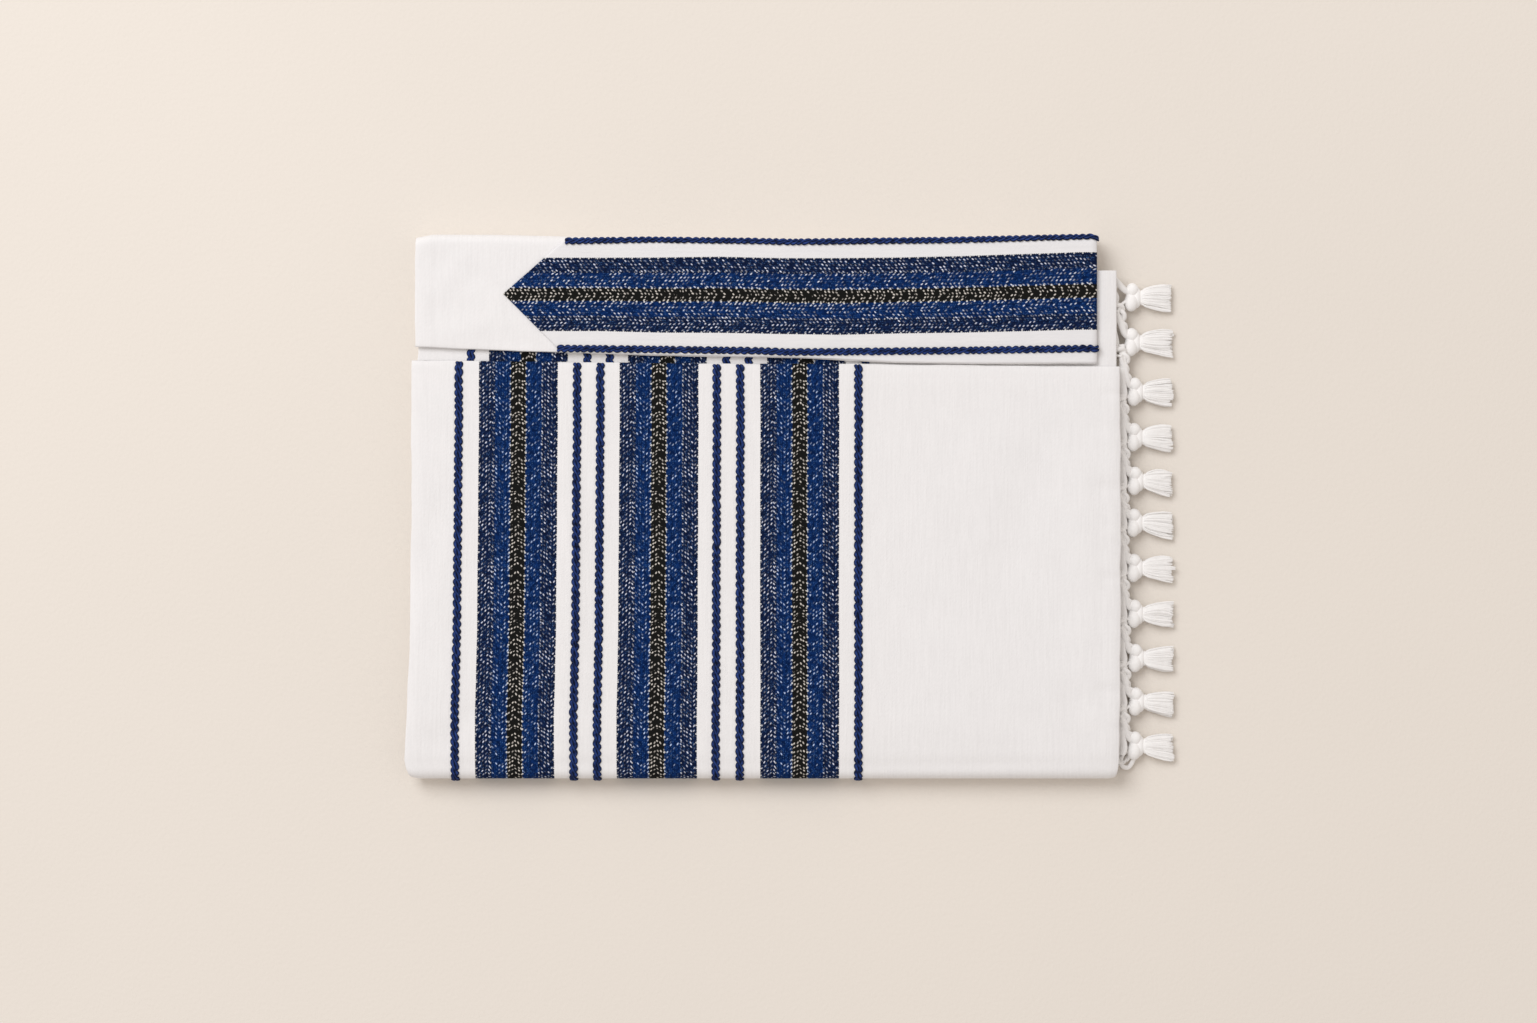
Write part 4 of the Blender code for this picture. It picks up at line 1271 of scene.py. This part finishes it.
@dataclass
class InnerLayers:
    """The layer in the slot, the layer under the pack, and the stack of folded layers between them."""

    inner_right: float = 166.0 * MM
    stack_right: float = 165.3 * MM
    notch_x: float = 153.2 * MM
    notch_y: float = 120.1 * MM
    inner_left: float = -189.4 * MM
    inner_columns: int = 134
    inner_rows: int = 70
    inner_length: float = 0.25
    front_gap: float = 4.6 * MM
    strip_x: tuple[float, float] = (0.150, 0.158)
    strip_y: tuple[float, float] = (0.066, 0.074)
    arch_x: tuple[float, float] = (0.153, 0.1665)
    arch: float = 0.5 * MM
    under_columns: int = 56
    under_rows: int = 36
    back_places: tuple[float, ...] = (-186.0, -182.0, -150.0, -112.0, -71.0, 0.0, 26.0, 53.0, 93.0, 152.0)
    front_left: tuple[float, float] = (-0.188, -0.1905)
    back_left: tuple[float, float] = (-0.1888, 0.131)
    corner: float = 2 * MM
    weave_shift: float = 1.0
    layers: int = 11
    edge_rings: int = 8
    around: int = 500

    def inner_fold(self, weave: Material) -> Piece:
        """The layer that shows in the slot and as a strip past the collar flap's right end.

        Args:
            weave: Its finish.

        Returns:
            The piece.
        """
        places = rounded_columns(self.inner_left, self.inner_right, self.inner_columns, CLOTH / 2)
        extra = self.notch_x + np.array([-0.1, 0.1]) * MM
        places = np.sort(np.concatenate([places, extra]))
        share = rounded_columns(0.0, 1.0, self.inner_rows, CLOTH / 2 / self.inner_length)
        x0 = np.broadcast_to(places, (len(share), len(places)))
        back = from_table(FLAP_EDGES, "x", "back", x0) - BACK_FOLD.bulge - 1.0 * MM
        back = np.where(x0 > self.notch_x, self.notch_y, back)
        y = back + (FRONT_FLAT_Y + self.front_gap - back) * share[:, None]
        left = from_table(LAYER_PLAN, "y", "left", y) + 0.2 * MM
        part = (x0 - places[0]) / (places[-1] - places[0])
        x = x0 + (left - places[0]) * (1 - part)
        shown = smooth_step(x, *self.strip_x) * smooth_step(y, *self.strip_y)
        top = INNER_BASE + CLOTH + self.arch * shown * np.sin(math.pi * smooth_step(x, *self.arch_x))
        reach = (np.minimum(x - left, places[-1] - x0), np.minimum(back - y, y - y[-1]))
        outer, inner = plate(x, y, top, CLOTH, reach)
        form = shell(outer, inner, np.stack([x + 0.5 * MM * (1 - part), y], axis=-1))
        piece = form.piece("inner_fold_cloth", weave, Slot.CLOTH)
        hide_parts("inner_fold")
        return piece

    def under_panel(self, weave: Material) -> Piece:
        """The layer that the pack rests on.

        Args:
            weave: Its finish.

        Returns:
            The piece.
        """
        low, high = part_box("under_panel")
        places = rounded_columns(low[0], high[0], self.under_columns, CLOTH / 2)
        lines = rounded_columns(low[1], high[1], self.under_rows, CLOTH / 2)[::-1]
        x, y = np.meshgrid(places, lines)
        reach = (np.minimum(x - low[0], high[0] - x), np.minimum(y - low[1], high[1] - y))
        outer, inner = plate(x, y, np.full_like(x, CLOTH), CLOTH, reach)
        piece = shell(outer, inner, np.stack([x, y], axis=-1)).piece("under_panel_cloth", weave, Slot.CLOTH)
        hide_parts("under_panel")
        return piece

    def outline(self) -> tuple[Array, Array]:
        """The stack's plan as even points with the way out, clockwise from its back left corner.

        Returns:
            The points in plan and the unit vectors.
        """
        back_x = np.array(self.back_places) * MM
        back = np.stack([back_x, from_table(FLAP_EDGES, "x", "back", back_x) - 1.2 * MM], axis=-1)
        right, cut_right = self.stack_right, self.stack_right - self.corner
        notch = [(self.notch_x, self.notch_y), (cut_right, self.notch_y), (right, self.notch_y - self.corner)]
        front_y = FRONT_FLAT_Y - FRONT_FOLD.bulge + 1.8 * MM
        front = [(right, front_y + self.corner), (cut_right, front_y), (self.front_left[0], front_y)]
        left_y = np.array(LAYER_PLAN["y"][:-1])[1:] * MM
        left = np.stack([from_table(LAYER_PLAN, "y", "left", left_y), left_y], axis=-1)
        turned = [(self.front_left[1], front_y + 3 * MM)]
        loop = np.concatenate([back, notch, front, turned, left, [self.back_left], back[:1]])
        run = np.concatenate([[0], np.cumsum(np.linalg.norm(np.diff(loop, axis=0), axis=1))])
        at = np.linspace(0, run[-1], self.around, endpoint=False)
        even = np.stack([np.interp(at, run, loop[:, axis]) for axis in range(2)], axis=-1)
        along = np.roll(even, -1, axis=0) - np.roll(even, 1, axis=0)
        out = normalised(np.stack([-along[:, 1], along[:, 0]], axis=-1))
        return even, out

    def stack(self, weave: Material) -> Piece:
        """The folded layers as one closed form, each edge rounded and lying a little in or out.

        Each layer's edge is a half circle in height, and slow waves move it in and out along the outline.
        The weave runs slantwise over the edges, shifted so that it doesn't repeat the flap's.

        Args:
            weave: Its finish.

        Returns:
            The piece.
        """
        plan, out = self.outline()
        run = np.linspace(0, 1.3, self.around, endpoint=False)
        step = (HIDDEN_TOP - HIDDEN_BASE) / self.layers
        rings = []
        for layer in range(self.layers):
            back_off = 0.5 * MM + wander(run, 50 + layer, 0.5, 0.55 * MM) + 0.45 * MM * math.sin(layer * 2.4)
            for turn in np.linspace(0.03, math.pi - 0.03, self.edge_rings):
                inward = back_off + (1 - math.sin(turn)) * step * 0.75
                height = HIDDEN_BASE + step * (layer + (1 - math.cos(turn)) / 2)
                place = plan - out * np.clip(inward, 0, None)[:, None]
                front = FRONT_FLAT_Y - FRONT_FOLD.room(height, 0.5 * MM)
                back = from_table(FLAP_EDGES, "x", "back", place[:, 0]) - BACK_FOLD.bulge
                back = back + BACK_FOLD.room(height, 0.5 * MM)
                y = np.clip(place[:, 1], front, back)
                rings.append(np.stack([place[:, 0], y, np.full(self.around, height)], axis=-1))
        rings = np.array(rings)[::-1]
        grid = np.arange(rings.shape[0] * self.around).reshape(rings.shape[0], self.around)
        turned = np.concatenate([grid, grid[:, :1]], axis=1)[:, ::-1]
        faces = grid_quads(turned).tolist() + [grid[0, ::-1].tolist(), grid[-1].tolist()]
        across = rings[..., 0] + rings[..., 1] + self.weave_shift
        uv = np.stack([across, rings[..., 2] + rings[..., 1]], axis=-1)
        piece = Form(rings, faces, uv).piece("layer_stack", weave, Slot.CLOTH)
        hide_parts("hidden_layers")
        return piece


@dataclass
class Neckband:
    """The applied strip on the collar flap: pointed at the left, turned down over the right end."""

    flap: CollarFlap
    lift: float = SEAM
    thick: float = 0.9 * MM
    flap_round: float = 1.2 * MM
    point_x: float = -145.8 * MM
    point_y: float = 107.0 * MM
    point_share: float = 0.5
    upper_cut: float = 1.13
    measured_x: float = -0.115
    hem_gap: float = 0.35 * MM
    hem_lower: float = 1.9 * MM
    hem_upper: float = 2.2 * MM
    swing_end: float = 1.45
    braid_end: float = 1.35
    columns: int = 230
    rows: int = 62

    def braid_run(self, x: Array, side: Side) -> Array:
        """The run of a braid's middle line at x, from its place in plan.

        Args:
            x: Places along the strip.
            side: Which braid.

        Returns:
            The run.
        """
        inside = np.minimum(x, self.flap.right)
        y = from_table(NECKBAND_BRAIDS, "x", side.value, inside)
        flat = self.flap.wrap.flat_y(inside)
        runs, turns = BACK_FOLD.turns()
        reach = BACK_FOLD.section(turns)[0]
        half = len(runs) // 2
        return np.where(y <= flat, y, flat + np.interp(y - flat, reach[:half], runs[:half]))

    def end(self, swing: float) -> float:
        """Where a place on the strip has swung so far, in radians, round the flap's right end."""
        return self.flap.right - self.flap_round + self.flap_round * swing

    def at(self, along: Array, run: Array, lift: float) -> tuple[Array, Array]:
        """Points lifted off the flap, where `along` past the flap's flat end swings round its end.

        Args:
            along: Place along the strip.
            run: Place across it.
            lift: Height off the flap.

        Returns:
            Points and the way out.
        """
        end = self.end(0.0)
        over = np.clip((along - end) / self.flap_round, 0, 1.5)
        x = np.minimum(along, end)
        relief = self.flap.relief(x, run)
        base, out = self.flap.wrap.at(x, run, relief)
        swing = out * np.cos(over)[..., None] + np.array([1.0, 0, 0]) * np.sin(over)[..., None]
        swung = swing * (self.flap_round + lift) - out * self.flap_round
        return base + np.where(over[..., None] > 0, swung, out * lift), swing

    def hems(self, x: Array) -> tuple[Array, Array]:
        """The runs of the strip's two long hems: one by the flap's free edge, one past the upper braid.

        Args:
            x: Places along the strip.

        Returns:
            The lower and the upper run.
        """
        low = self.flap.wrap.edge_y(np.minimum(x, self.flap.right)) + self.hem_gap
        low = np.minimum(low, self.braid_run(x, Side.LOWER) - self.hem_lower)
        return low, self.braid_run(x, Side.UPPER) + self.hem_upper

    def start(self, run: Array) -> Array:
        """Where the strip begins at each run: two straight cuts that meet in the point."""
        tip = self.point_y
        return self.point_x + np.where(run < tip, tip - run, (run - tip) * self.upper_cut)

    def build(self, weave: Material) -> Piece:
        """Make the strip as a thin shell.

        Args:
            weave: Its finish.

        Returns:
            The piece.
        """
        edge = self.thick
        across = rounded_columns(0.0, 1.0, self.rows, edge / 0.06)[::-1]
        tip = float(across[np.argmin(np.abs(across - self.point_share))])
        along = rounded_columns(0.0, 1.0, self.columns, edge / 0.28)
        wide = float(np.diff(self.hems(np.array(self.measured_x)), axis=0)[0])
        start = self.point_x + np.abs(across - tip) * wide * np.where(across < tip, 1.0, self.upper_cut)
        stop = self.end(self.swing_end)
        place = start[:, None] + (stop - start[:, None]) * along
        bottom, top = self.hems(place)
        run = bottom + (top - bottom) * across[:, None]
        side = np.minimum((place - start[:, None]) * 0.72, stop - place)
        sink = edge_sink(side, np.minimum(run - bottom, top - run), edge * 0.999)
        points, out = self.at(place, run, self.lift + self.thick)
        outer = points - out * sink[..., None]
        inner, _ = self.at(place, run, self.lift)
        low, high = (from_table(NECKBAND_STRIPES, "x", side_edge, place) for side_edge in ("low", "high"))
        uv = np.stack([(run - (low + high) / 2) / (high - low) * NECKBAND_WEAVE.width, place], axis=-1)
        piece = shell(outer, inner, uv).piece("neckband_cloth", weave, Slot.NECKBAND)
        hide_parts("neckband")
        return piece

    def braid_line(self, side: Side, count: int) -> tuple[Array, Array, Array]:
        """A braid's middle line along the strip, the way out and the run along it.

        Args:
            side: Which braid.
            count: How many points it gets.

        Returns:
            The points, the unit vectors and the run.
        """
        guess = np.array(self.measured_x)
        first = float(self.start(self.braid_run(guess, side))) + 0.6 * MM
        along = np.linspace(first, self.end(self.braid_end), count)
        run = self.braid_run(along, side)
        line, out = self.at(along, run, self.lift + self.thick)
        return line, out, along - first


@dataclass(frozen=True)
class Braid:
    """A raised cord of three plies twisted round each other, pressed flat on the cloth."""

    width: float = 4.3 * MM
    lobe: float = 3.85 * MM
    ply: float = 1.06 * MM
    sway: float = 0.14 * MM
    flat: float = 0.68
    rise: float = 0.40 * MM
    height: float = 0.34 * MM
    sides: int = 8
    per_lobe: int = 8

    def form(self, line: Array, out: Array, run: Array, seed: int = 71) -> Form:
        """Three plies along a line, a third of a turn apart: across = cos, up = sin, and a turn is 3 lobes.

        A ply is thickest where it lies at a side, so its turns show as round lobes, left and right in turn.

        Args:
            line: The braid's middle line on the cloth.
            out: The way out of the cloth.
            run: The length run along the line.
            seed: Picks how the lobes vary.

        Returns:
            The plies as one form.
        """
        along = normalised(np.gradient(line, axis=0))
        across = normalised(np.cross(along, out))
        even = run + wander(run, seed, 0.03, 0.8 * MM)
        phase = 2 * math.pi * (even / (3 * self.lobe) + np.array([[0.0], [1.0], [2.0]]) / 3)
        swing = np.cos(phase)
        sideways = (self.width / 2 - self.ply) * np.sign(swing) * np.abs(swing) ** 0.8
        sideways = sideways + self.sway * np.cos(2 * math.pi * even / self.lobe)
        upward = self.height + self.rise * np.sin(phase)
        paths = line + across * sideways[..., None] + out * upward[..., None]
        thick = self.ply * (0.56 + 0.44 * swing**2) * (1 + wander(run, seed + 1, 0.02, 0.06))
        thick[:, [0, -1]] *= 0.55
        return tubes(paths, thick, self.sides, out, self.flat)

    def count(self, length: float) -> int:
        """How many steps a braid of this length takes."""
        return max(8, int(length / self.lobe * self.per_lobe))


@dataclass
class Tassel:
    """One knotted tassel of the fringe, with the yarns that hold it on the cloth's edge.

    Places are in millimetres from the middle of the knot.
    """

    number: int
    knot_z: float = 4.0
    edge_x: float = 165.2
    root_z: float = 9.8
    panel_x: float = 169.4
    waist: float = 4.9
    locks: int = 8
    strands: int = 9
    strand_radius: float = 0.42

    def column(self, name: str) -> float:
        """This tassel's value in the table, in millimetres."""
        return TASSELS[name][self.number]

    def last(self) -> bool:
        """Whether this is the lowest tassel."""
        return self.number == len(TASSELS["y"]) - 1

    def placed(self, points: Array) -> Array:
        """Points from the knot's middle in millimetres, as places in metres."""
        return (points + np.array([self.column("x"), self.column("y"), self.knot_z])) * MM

    def bell(self, along: Array) -> tuple[Array, Array, Array]:
        """Half-width, half-height and drop of the skirt at shares of its length.

        Args:
            along: The shares.

        Returns:
            The three measures, in millimetres.
        """
        wide = np.interp(along, [0, 0.05, 0.12, 0.4, 0.73, 1], [2.4, 3.3, 4.0, 5.1, 6.0, 6.6])
        high = np.interp(along, [0, 0.06, 0.3, 1], [1.6, 2.3, 2.5, 1.35])
        drop = np.interp(along, [0, 0.3, 1], [0.0, -0.5, -1.9])
        return wide, high, drop

    def body(self) -> Form:
        """The soft body under the strands: an oval tube along the bell, a little smaller than it.

        Returns:
            The closed form.
        """
        along = np.linspace(0, 1, 16) ** 1.2
        wide, high, drop = self.bell(along)
        reach = self.column("end") - self.column("x") - 1.3 - self.waist
        x = self.waist - 0.6 + reach * along
        path = np.stack([x, self.column("lean") * along**1.5, drop], axis=-1)
        around = np.linspace(0, 2 * math.pi, 40, endpoint=False)
        relief = 1 + 0.03 * np.cos(13 * around + 2 * along[:, None])
        shrink = np.interp(along, [0.0, 0.8, 0.95, 1.0], [1.0, 1.0, 0.93, 0.78])
        radii = (wide * shrink * MM)[None]
        return tubes(self.placed(path)[None], radii, 40, UP, (high / wide)[:, None], relief)

    def skirt(self) -> Form:
        """Locks of loose strands that leave the waist together, swell like a bell and lie down.

        A lock's place across is its share of the bell's half-width, and its height is the bell's
        height times the root of 1 - share squared. Strands lie in a small disc round their lock.

        Returns:
            All its strands as one form.
        """
        chance = np.random.default_rng(100 + self.number)
        upper = np.linspace(-0.88, 0.88, self.locks)
        lower = np.linspace(-0.8, 0.8, self.locks - 2)
        share = np.concatenate([upper, lower]) + chance.normal(0, 0.05, 2 * self.locks - 2)
        level = np.concatenate([np.ones(self.locks), -0.5 * np.ones(self.locks - 2)])
        level = level * np.sqrt(np.clip(1 - share**2 * 0.85, 0, 1)) + chance.normal(0, 0.05, share.shape)
        length = chance.normal(0.25, 0.5, share.shape)
        bow = chance.normal(0, 0.35, share.shape)
        share, level, length, bow = (np.repeat(value, self.strands) for value in (share, level, length, bow))
        count = len(share)
        share = share + chance.normal(0, 0.025, count)
        angle, ring = chance.uniform(0, 2 * math.pi, count), np.sqrt(chance.uniform(0, 1, count))
        along = np.linspace(0, 1, 12) ** 1.2
        wide, high, drop = self.bell(along)
        loose = np.interp(along, [0, 0.2, 0.7, 1], [0.45, 0.85, 1.1, 0.8])
        end = self.column("end") - self.column("x") + length - np.abs(chance.normal(0, 0.5, count))
        x = self.waist - 0.6 + (end[:, None] - self.waist + 0.6) * along
        y = share[:, None] * wide + (ring * np.cos(angle))[:, None] * loose * 1.45
        y = y + self.column("lean") * along**1.5
        y = y + (bow[:, None] + chance.uniform(-1, 1, (count, 1)) * 0.14) * np.sin(math.pi * along)
        z = level[:, None] * high + drop + (ring * np.sin(angle))[:, None] * loose * 0.28
        z = np.maximum(z, self.strand_radius * 1.2 - self.knot_z)
        radii = self.strand_radius * np.interp(along, [0, 0.15, 0.85, 1], [0.85, 1.0, 1.0, 0.45])
        radii = radii * chance.uniform(0.85, 1.15, (count, 1)) * MM
        return tubes(self.placed(np.stack([x, y, z], axis=-1)), radii, 6, UP)

    def lobe(
        self, middle: tuple[float, ...], half: tuple[float, ...], tilt: float, plies: int, bend: float
    ) -> Form:
        """A rounded turn of yarn: an ellipsoid along a bent line, with grooves between its plies.

        Its radius is the root of 1 - t squared, for t from -1 to 1 along the line.

        Args:
            middle: Its middle.
            half: Half its width, length and height.
            tilt: How far its length leans from +Y towards +X, in degrees.
            plies: How many grooves go round it.
            bend: How far its ends are drawn to +X.

        Returns:
            The closed form.
        """
        t = np.sin(np.linspace(-1, 1, 17) * math.radians(88))
        lean = math.radians(tilt)
        x = middle[0] + t * half[1] * math.sin(lean) + bend * t**2
        y = middle[1] + t * half[1] * math.cos(lean)
        path = np.stack([x, y, middle[2] - 0.25 * half[2] * t**2], axis=-1)
        around = np.linspace(0, 2 * math.pi, 28, endpoint=False)
        relief = 1 - 0.016 * (1 - np.abs(np.cos(plies / 2 * (around + 0.9 * t[:, None]))))
        radii = half[0] * np.sqrt(1 - t**2 * 0.998) * MM
        return tubes(self.placed(path)[None], radii[None], 28, UP, half[2] / half[0], relief)

    def knot(self) -> list[Form]:
        """The knot's round lower and upper turns, the turn behind them and the wrap at the waist."""
        return [
            self.lobe((-0.8, -2.5, 0.4), (3.6, 4.5, 3.4), 2, 9, 0.2),
            self.lobe((-0.2, 3.9, 0.2), (3.35, 3.3, 3.1), -4, 8, 0.3),
            self.lobe((2.2, 0.2, -0.3), (2.5, 5.5, 2.8), -2, 8, -0.5),
            self.lobe((-1.0, 1.0, -0.4), (2.6, 3.0, 2.6), 0, 7, 0.0),
            self.lobe((4.4, 0.0, -0.1), (0.8, 3.9, 2.2), 0, 6, 0.1),
            self.lobe((3.3, 0.0, -0.4), (1.9, 3.2, 2.2), 0, 7, 0.0),
        ]

    def yarn(self, points: list[tuple[float, ...]], flat: float = 0.75) -> Form:
        """A soft yarn through a few places, each with its radius, with two shallow grooves.

        Args:
            points: The places with their radii.
            flat: The section's height as a share of its width.

        Returns:
            The closed form.
        """
        path = smooth_path(np.array(points), 40)
        around = np.linspace(0, 2 * math.pi, 14, endpoint=False)
        twist = np.linspace(0, 5.0, 40)[:, None]
        relief = 0.95 + 0.06 * np.abs(np.cos(around + twist))
        return tubes(self.placed(path[:, :3])[None], path[None, :, 3] * MM, 14, UP, flat, relief)

    def cord(self, points: list[tuple[float, ...]], ply: float, lobe: float) -> Form:
        """Two plies twisted along a smooth path through a few points.

        Args:
            points: The places.
            ply: A ply's radius.
            lobe: Half the length of a full twist.

        Returns:
            The two plies as one form.
        """
        line = self.placed(smooth_path(np.array(points), 60))
        run = np.concatenate([[0], np.cumsum(np.linalg.norm(np.diff(line, axis=0), axis=1))])
        along = normalised(np.gradient(line, axis=0))
        across = normalised(np.cross(along, UP))
        out = np.cross(across, along)
        phase = math.pi * run / (lobe * MM) + np.array([[0.0], [math.pi]])
        paths = line + ply * 0.85 * MM * (across * np.cos(phase)[..., None] + out * np.sin(phase)[..., None])
        return tubes(paths, np.full(phase.shape, ply * MM), 8, UP)

    def legs(self) -> list[Form]:
        """The yarns from the knot above, by way of the cloth's edge, to this knot, and the last loop.

        Returns:
            The yarns, each a form of its own.
        """
        lift = self.root_z - self.knot_z
        edge = self.edge_x - self.column("x")
        meet = max(-7.7, edge + 1.7)
        forms = []
        if self.number == 0:
            top = 11.0
            first = [
                (edge, 9.6, lift, 1.1),
                (-7.6, 7.3, 3.9, 1.5),
                (-5.2, 4.6, 2.3, 1.6),
                (-2.0, 2.2, 0.5, 1.3),
            ]
            forms.append(self.yarn(first))
        else:
            up = TASSELS["y"][self.number - 1] - self.column("y")
            over = TASSELS["x"][self.number - 1] - self.column("x")
            top = up - 1.0
            leg = [
                (over - 2.6, up - 1.2, 1.2, 0.7),
                (over - 5.8, up - 3.6, 2.9, 0.8),
                (meet, up - 7.2, lift - 0.6, 0.9),
                (meet + 0.6, up - 10.4, 4.3, 1.4),
                (-5.6, up - 14.2, 3.0, 1.75),
                (-4.0, 4.6, 1.9, 1.65),
                (-2.0, 2.4, 0.5, 1.3),
            ]
            short = [
                (edge, up - 6.6, lift, 0.5),
                (meet, up - 7.4, lift, 0.6),
                (meet + 0.5, up - 9.2, 0.8, 0.6),
            ]
            rear = [
                (edge, up - 2.6, lift - 0.4),
                (-6.9, up - 4.4, 3.8),
                (-4.8, up - 8.0, 2.6),
                (-5.4, up - 11.9, 2.2),
                (-3.9, 7.4, 1.0),
                (-2.2, 4.2, -0.3),
            ]
            forms.extend([self.yarn(leg), self.yarn(short), self.cord(rear, 1.15, 5.0)])
        side = (self.edge_x if self.number < 2 else self.panel_x) - self.column("x")
        inner = [
            (side - 0.5, top, lift - 1.6, 1.5),
            (side + 0.1, top * 0.7, lift - 2.2, 1.9),
            (side - 0.4, top * 0.3, lift - 2.0, 1.7),
            (side + 0.5, -0.5, lift - 2.4, 2.1),
            (side - 0.4, -4.5, lift - 1.7, 1.6),
        ]
        forms.append(self.yarn(inner, 0.5))
        if self.last():
            loop = [
                (-3.0, -1.2, 0.5),
                (-6.4, -4.2, 0.6),
                (-7.6, -8.0, 0.2),
                (-6.6, -10.4, -0.6),
                (-3.6, -11.0, -1.4),
                (-1.2, -7.6, -1.2),
                (-0.9, -5.0, -0.6),
            ]
            tail = [(edge, -7.2, lift - 0.4), (-6.6, -8.2, -0.4), (-4.4, -7.0, -1.0), (-3.4, -4.6, -1.0)]
            forms.append(self.yarn([(*place, 1.15) for place in loop]))
            forms.append(self.cord(tail, 0.7, 3.6))
        return forms

    def build(self, yarn: Material) -> Piece:
        """Make the whole tassel as one piece.

        Args:
            yarn: Its finish.

        Returns:
            The piece.
        """
        name = f"tassel_{self.number + 1:02d}"
        form = joined([self.skirt(), self.body(), *self.knot(), *self.legs()])
        piece = form.piece(f"{name}_yarn", yarn, Slot.YARN, sharp=80)
        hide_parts(name)
        return piece


# Surroundings


@dataclass(frozen=True)
class Studio:
    """A plain pale floor, soft daylight from the upper left and a camera straight above."""

    lens: float = 100.0
    sensor: float = 36.0
    view_width: float = 0.781
    middle: tuple[float, float] = (-11.05 * MM, -2.5 * MM)
    floor: Colour = (0.84, 0.785, 0.715)
    floor_reach: float = 4.0
    key_place: tuple[float, float, float] = (-1.45, 1.65, 2.6)
    key_size: float = 2.2
    key_watts: float = 65.0
    key_colour: Colour = (0.94, 0.955, 0.985)
    sky: float = 0.64
    sky_colour: Colour = (1.0, 0.935, 0.89)

    def floor_material(self) -> Material:
        """Smooth plaster with a fine grain.

        Returns:
            The finished material.
        """
        w = Wiring("floor_plaster")
        place = w.node("ShaderNodeTexCoord").outputs["Object"]
        grain = w.noise(place, 480.0, 3, 0.6)
        cloud = w.noise(place, 3.0, 2, 0.5)
        darker = tuple(part * 0.94 for part in self.floor)
        colour = w.mix(cloud, darker, self.floor)
        return w.finish(colour, w.bump(grain, 0.17 * MM), rough=0.9, sheen=0.0, gloss=0.2)

    def build(self) -> None:
        """Add the floor, the lights, the world and the camera."""
        mesh = bpy.data.meshes.new("floor")
        reach = self.floor_reach
        corners = [(-reach, -reach, 0), (reach, -reach, 0), (reach, reach, 0), (-reach, reach, 0)]
        mesh.from_pydata(corners, [], [(0, 1, 2, 3)])
        floor = bpy.data.objects.new("floor", mesh)
        mesh.materials.append(self.floor_material())
        bpy.context.scene.collection.objects.link(floor)
        self.light()
        world = bpy.data.worlds.new("soft_sky")
        world.use_nodes = True
        world.node_tree.nodes["Background"].inputs[0].default_value = (*self.sky_colour, 1.0)
        world.node_tree.nodes["Background"].inputs[1].default_value = self.sky
        bpy.context.scene.world = world
        bpy.context.scene.view_settings.view_transform = "Standard"
        self.camera()

    def light(self) -> None:
        """Add the one round area light, which faces the shawl."""
        data = bpy.data.lights.new("key", "AREA")
        data.shape = "DISK"
        data.size = self.key_size
        data.energy = self.key_watts
        data.color = self.key_colour
        lamp = bpy.data.objects.new("key", data)
        lamp.location = self.key_place
        lamp.rotation_euler = (-Vector(self.key_place)).to_track_quat("-Z", "Y").to_euler()
        bpy.context.scene.collection.objects.link(lamp)

    def camera(self) -> None:
        """Put the camera straight above, where its width of view fits the photograph's scale."""
        data = bpy.data.cameras.new("camera")
        data.lens = self.lens
        data.sensor_width = self.sensor
        camera = bpy.data.objects.new("camera", data)
        height = self.view_width * self.lens / self.sensor + PANEL_TOP
        camera.location = (*self.middle, height)
        bpy.context.scene.collection.objects.link(camera)
        bpy.context.scene.camera = camera


def panel_braids(panel: FrontPanel, yarn: Material) -> None:
    """Lay the six braids of the front panel, one on each side of each band.

    Args:
        panel: The flap that they lie on.
        yarn: Their finish.
    """
    braid = Braid()
    for number, place in enumerate(PANEL_BRAIDS, start=1):
        line, out, run = panel.braid_line(place * MM, braid.count(0.225))
        braid.form(line, out, run, 70 + 3 * number).piece(f"front_braid_{number}", yarn, Slot.CLOTH, sharp=80)


def slot_braids(yarn: Material) -> None:
    """Lay the short stretches of the inner fold's braids that show in the slot.

    Args:
        yarn: Their finish.
    """
    braid = Braid(rise=0.25 * MM)
    forms = []
    for band in range(3):
        middle = INNER_WEAVE.last - (2 - band) * INNER_WEAVE.pitch
        for side in (-1, 1):
            y = np.linspace(86 * MM, 64 * MM, braid.count(0.022))
            x = np.full_like(y, middle + side * 29.6 * MM)
            line = np.stack([x, y, np.full_like(y, INNER_BASE + CLOTH - 0.25 * MM)], axis=-1)
            forms.append(braid.form(line, np.broadcast_to(UP, line.shape), y[0] - y))
    joined(forms).piece("slot_braids", yarn, Slot.CLOTH, sharp=80)


def main() -> None:
    """Build the shawl piece by piece."""
    logging.basicConfig(level=logging.INFO, format="%(message)s")
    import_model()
    shawl = SHAWL_WEAVE.material()
    navy = NAVY_YARN.material()
    white = WHITE_YARN.material()
    plain = PLAIN_WEAVE.material()

    Studio().build()
    layers = InnerLayers()
    layers.under_panel(shawl)
    layers.stack(plain)
    layers.inner_fold(INNER_WEAVE.material())
    panel = FrontPanel()
    panel.build(shawl)
    panel_braids(panel, navy)
    slot_braids(navy)
    flap = CollarFlap()
    flap.build(plain)
    neckband = Neckband(flap)
    neckband.build(NECKBAND_WEAVE.material())
    braid = Braid(width=3.8 * MM, lobe=3.4 * MM, ply=0.94 * MM)
    for number, side in enumerate(Side, start=1):
        line, out, run = neckband.braid_line(side, braid.count(0.27))
        braid.form(line, out, run).piece(f"neckband_braid_{number}", navy, Slot.NECKBAND, sharp=80)
    for number in range(len(TASSELS["x"])):
        Tassel(number).build(white)


if __name__ == "__main__":
    main()
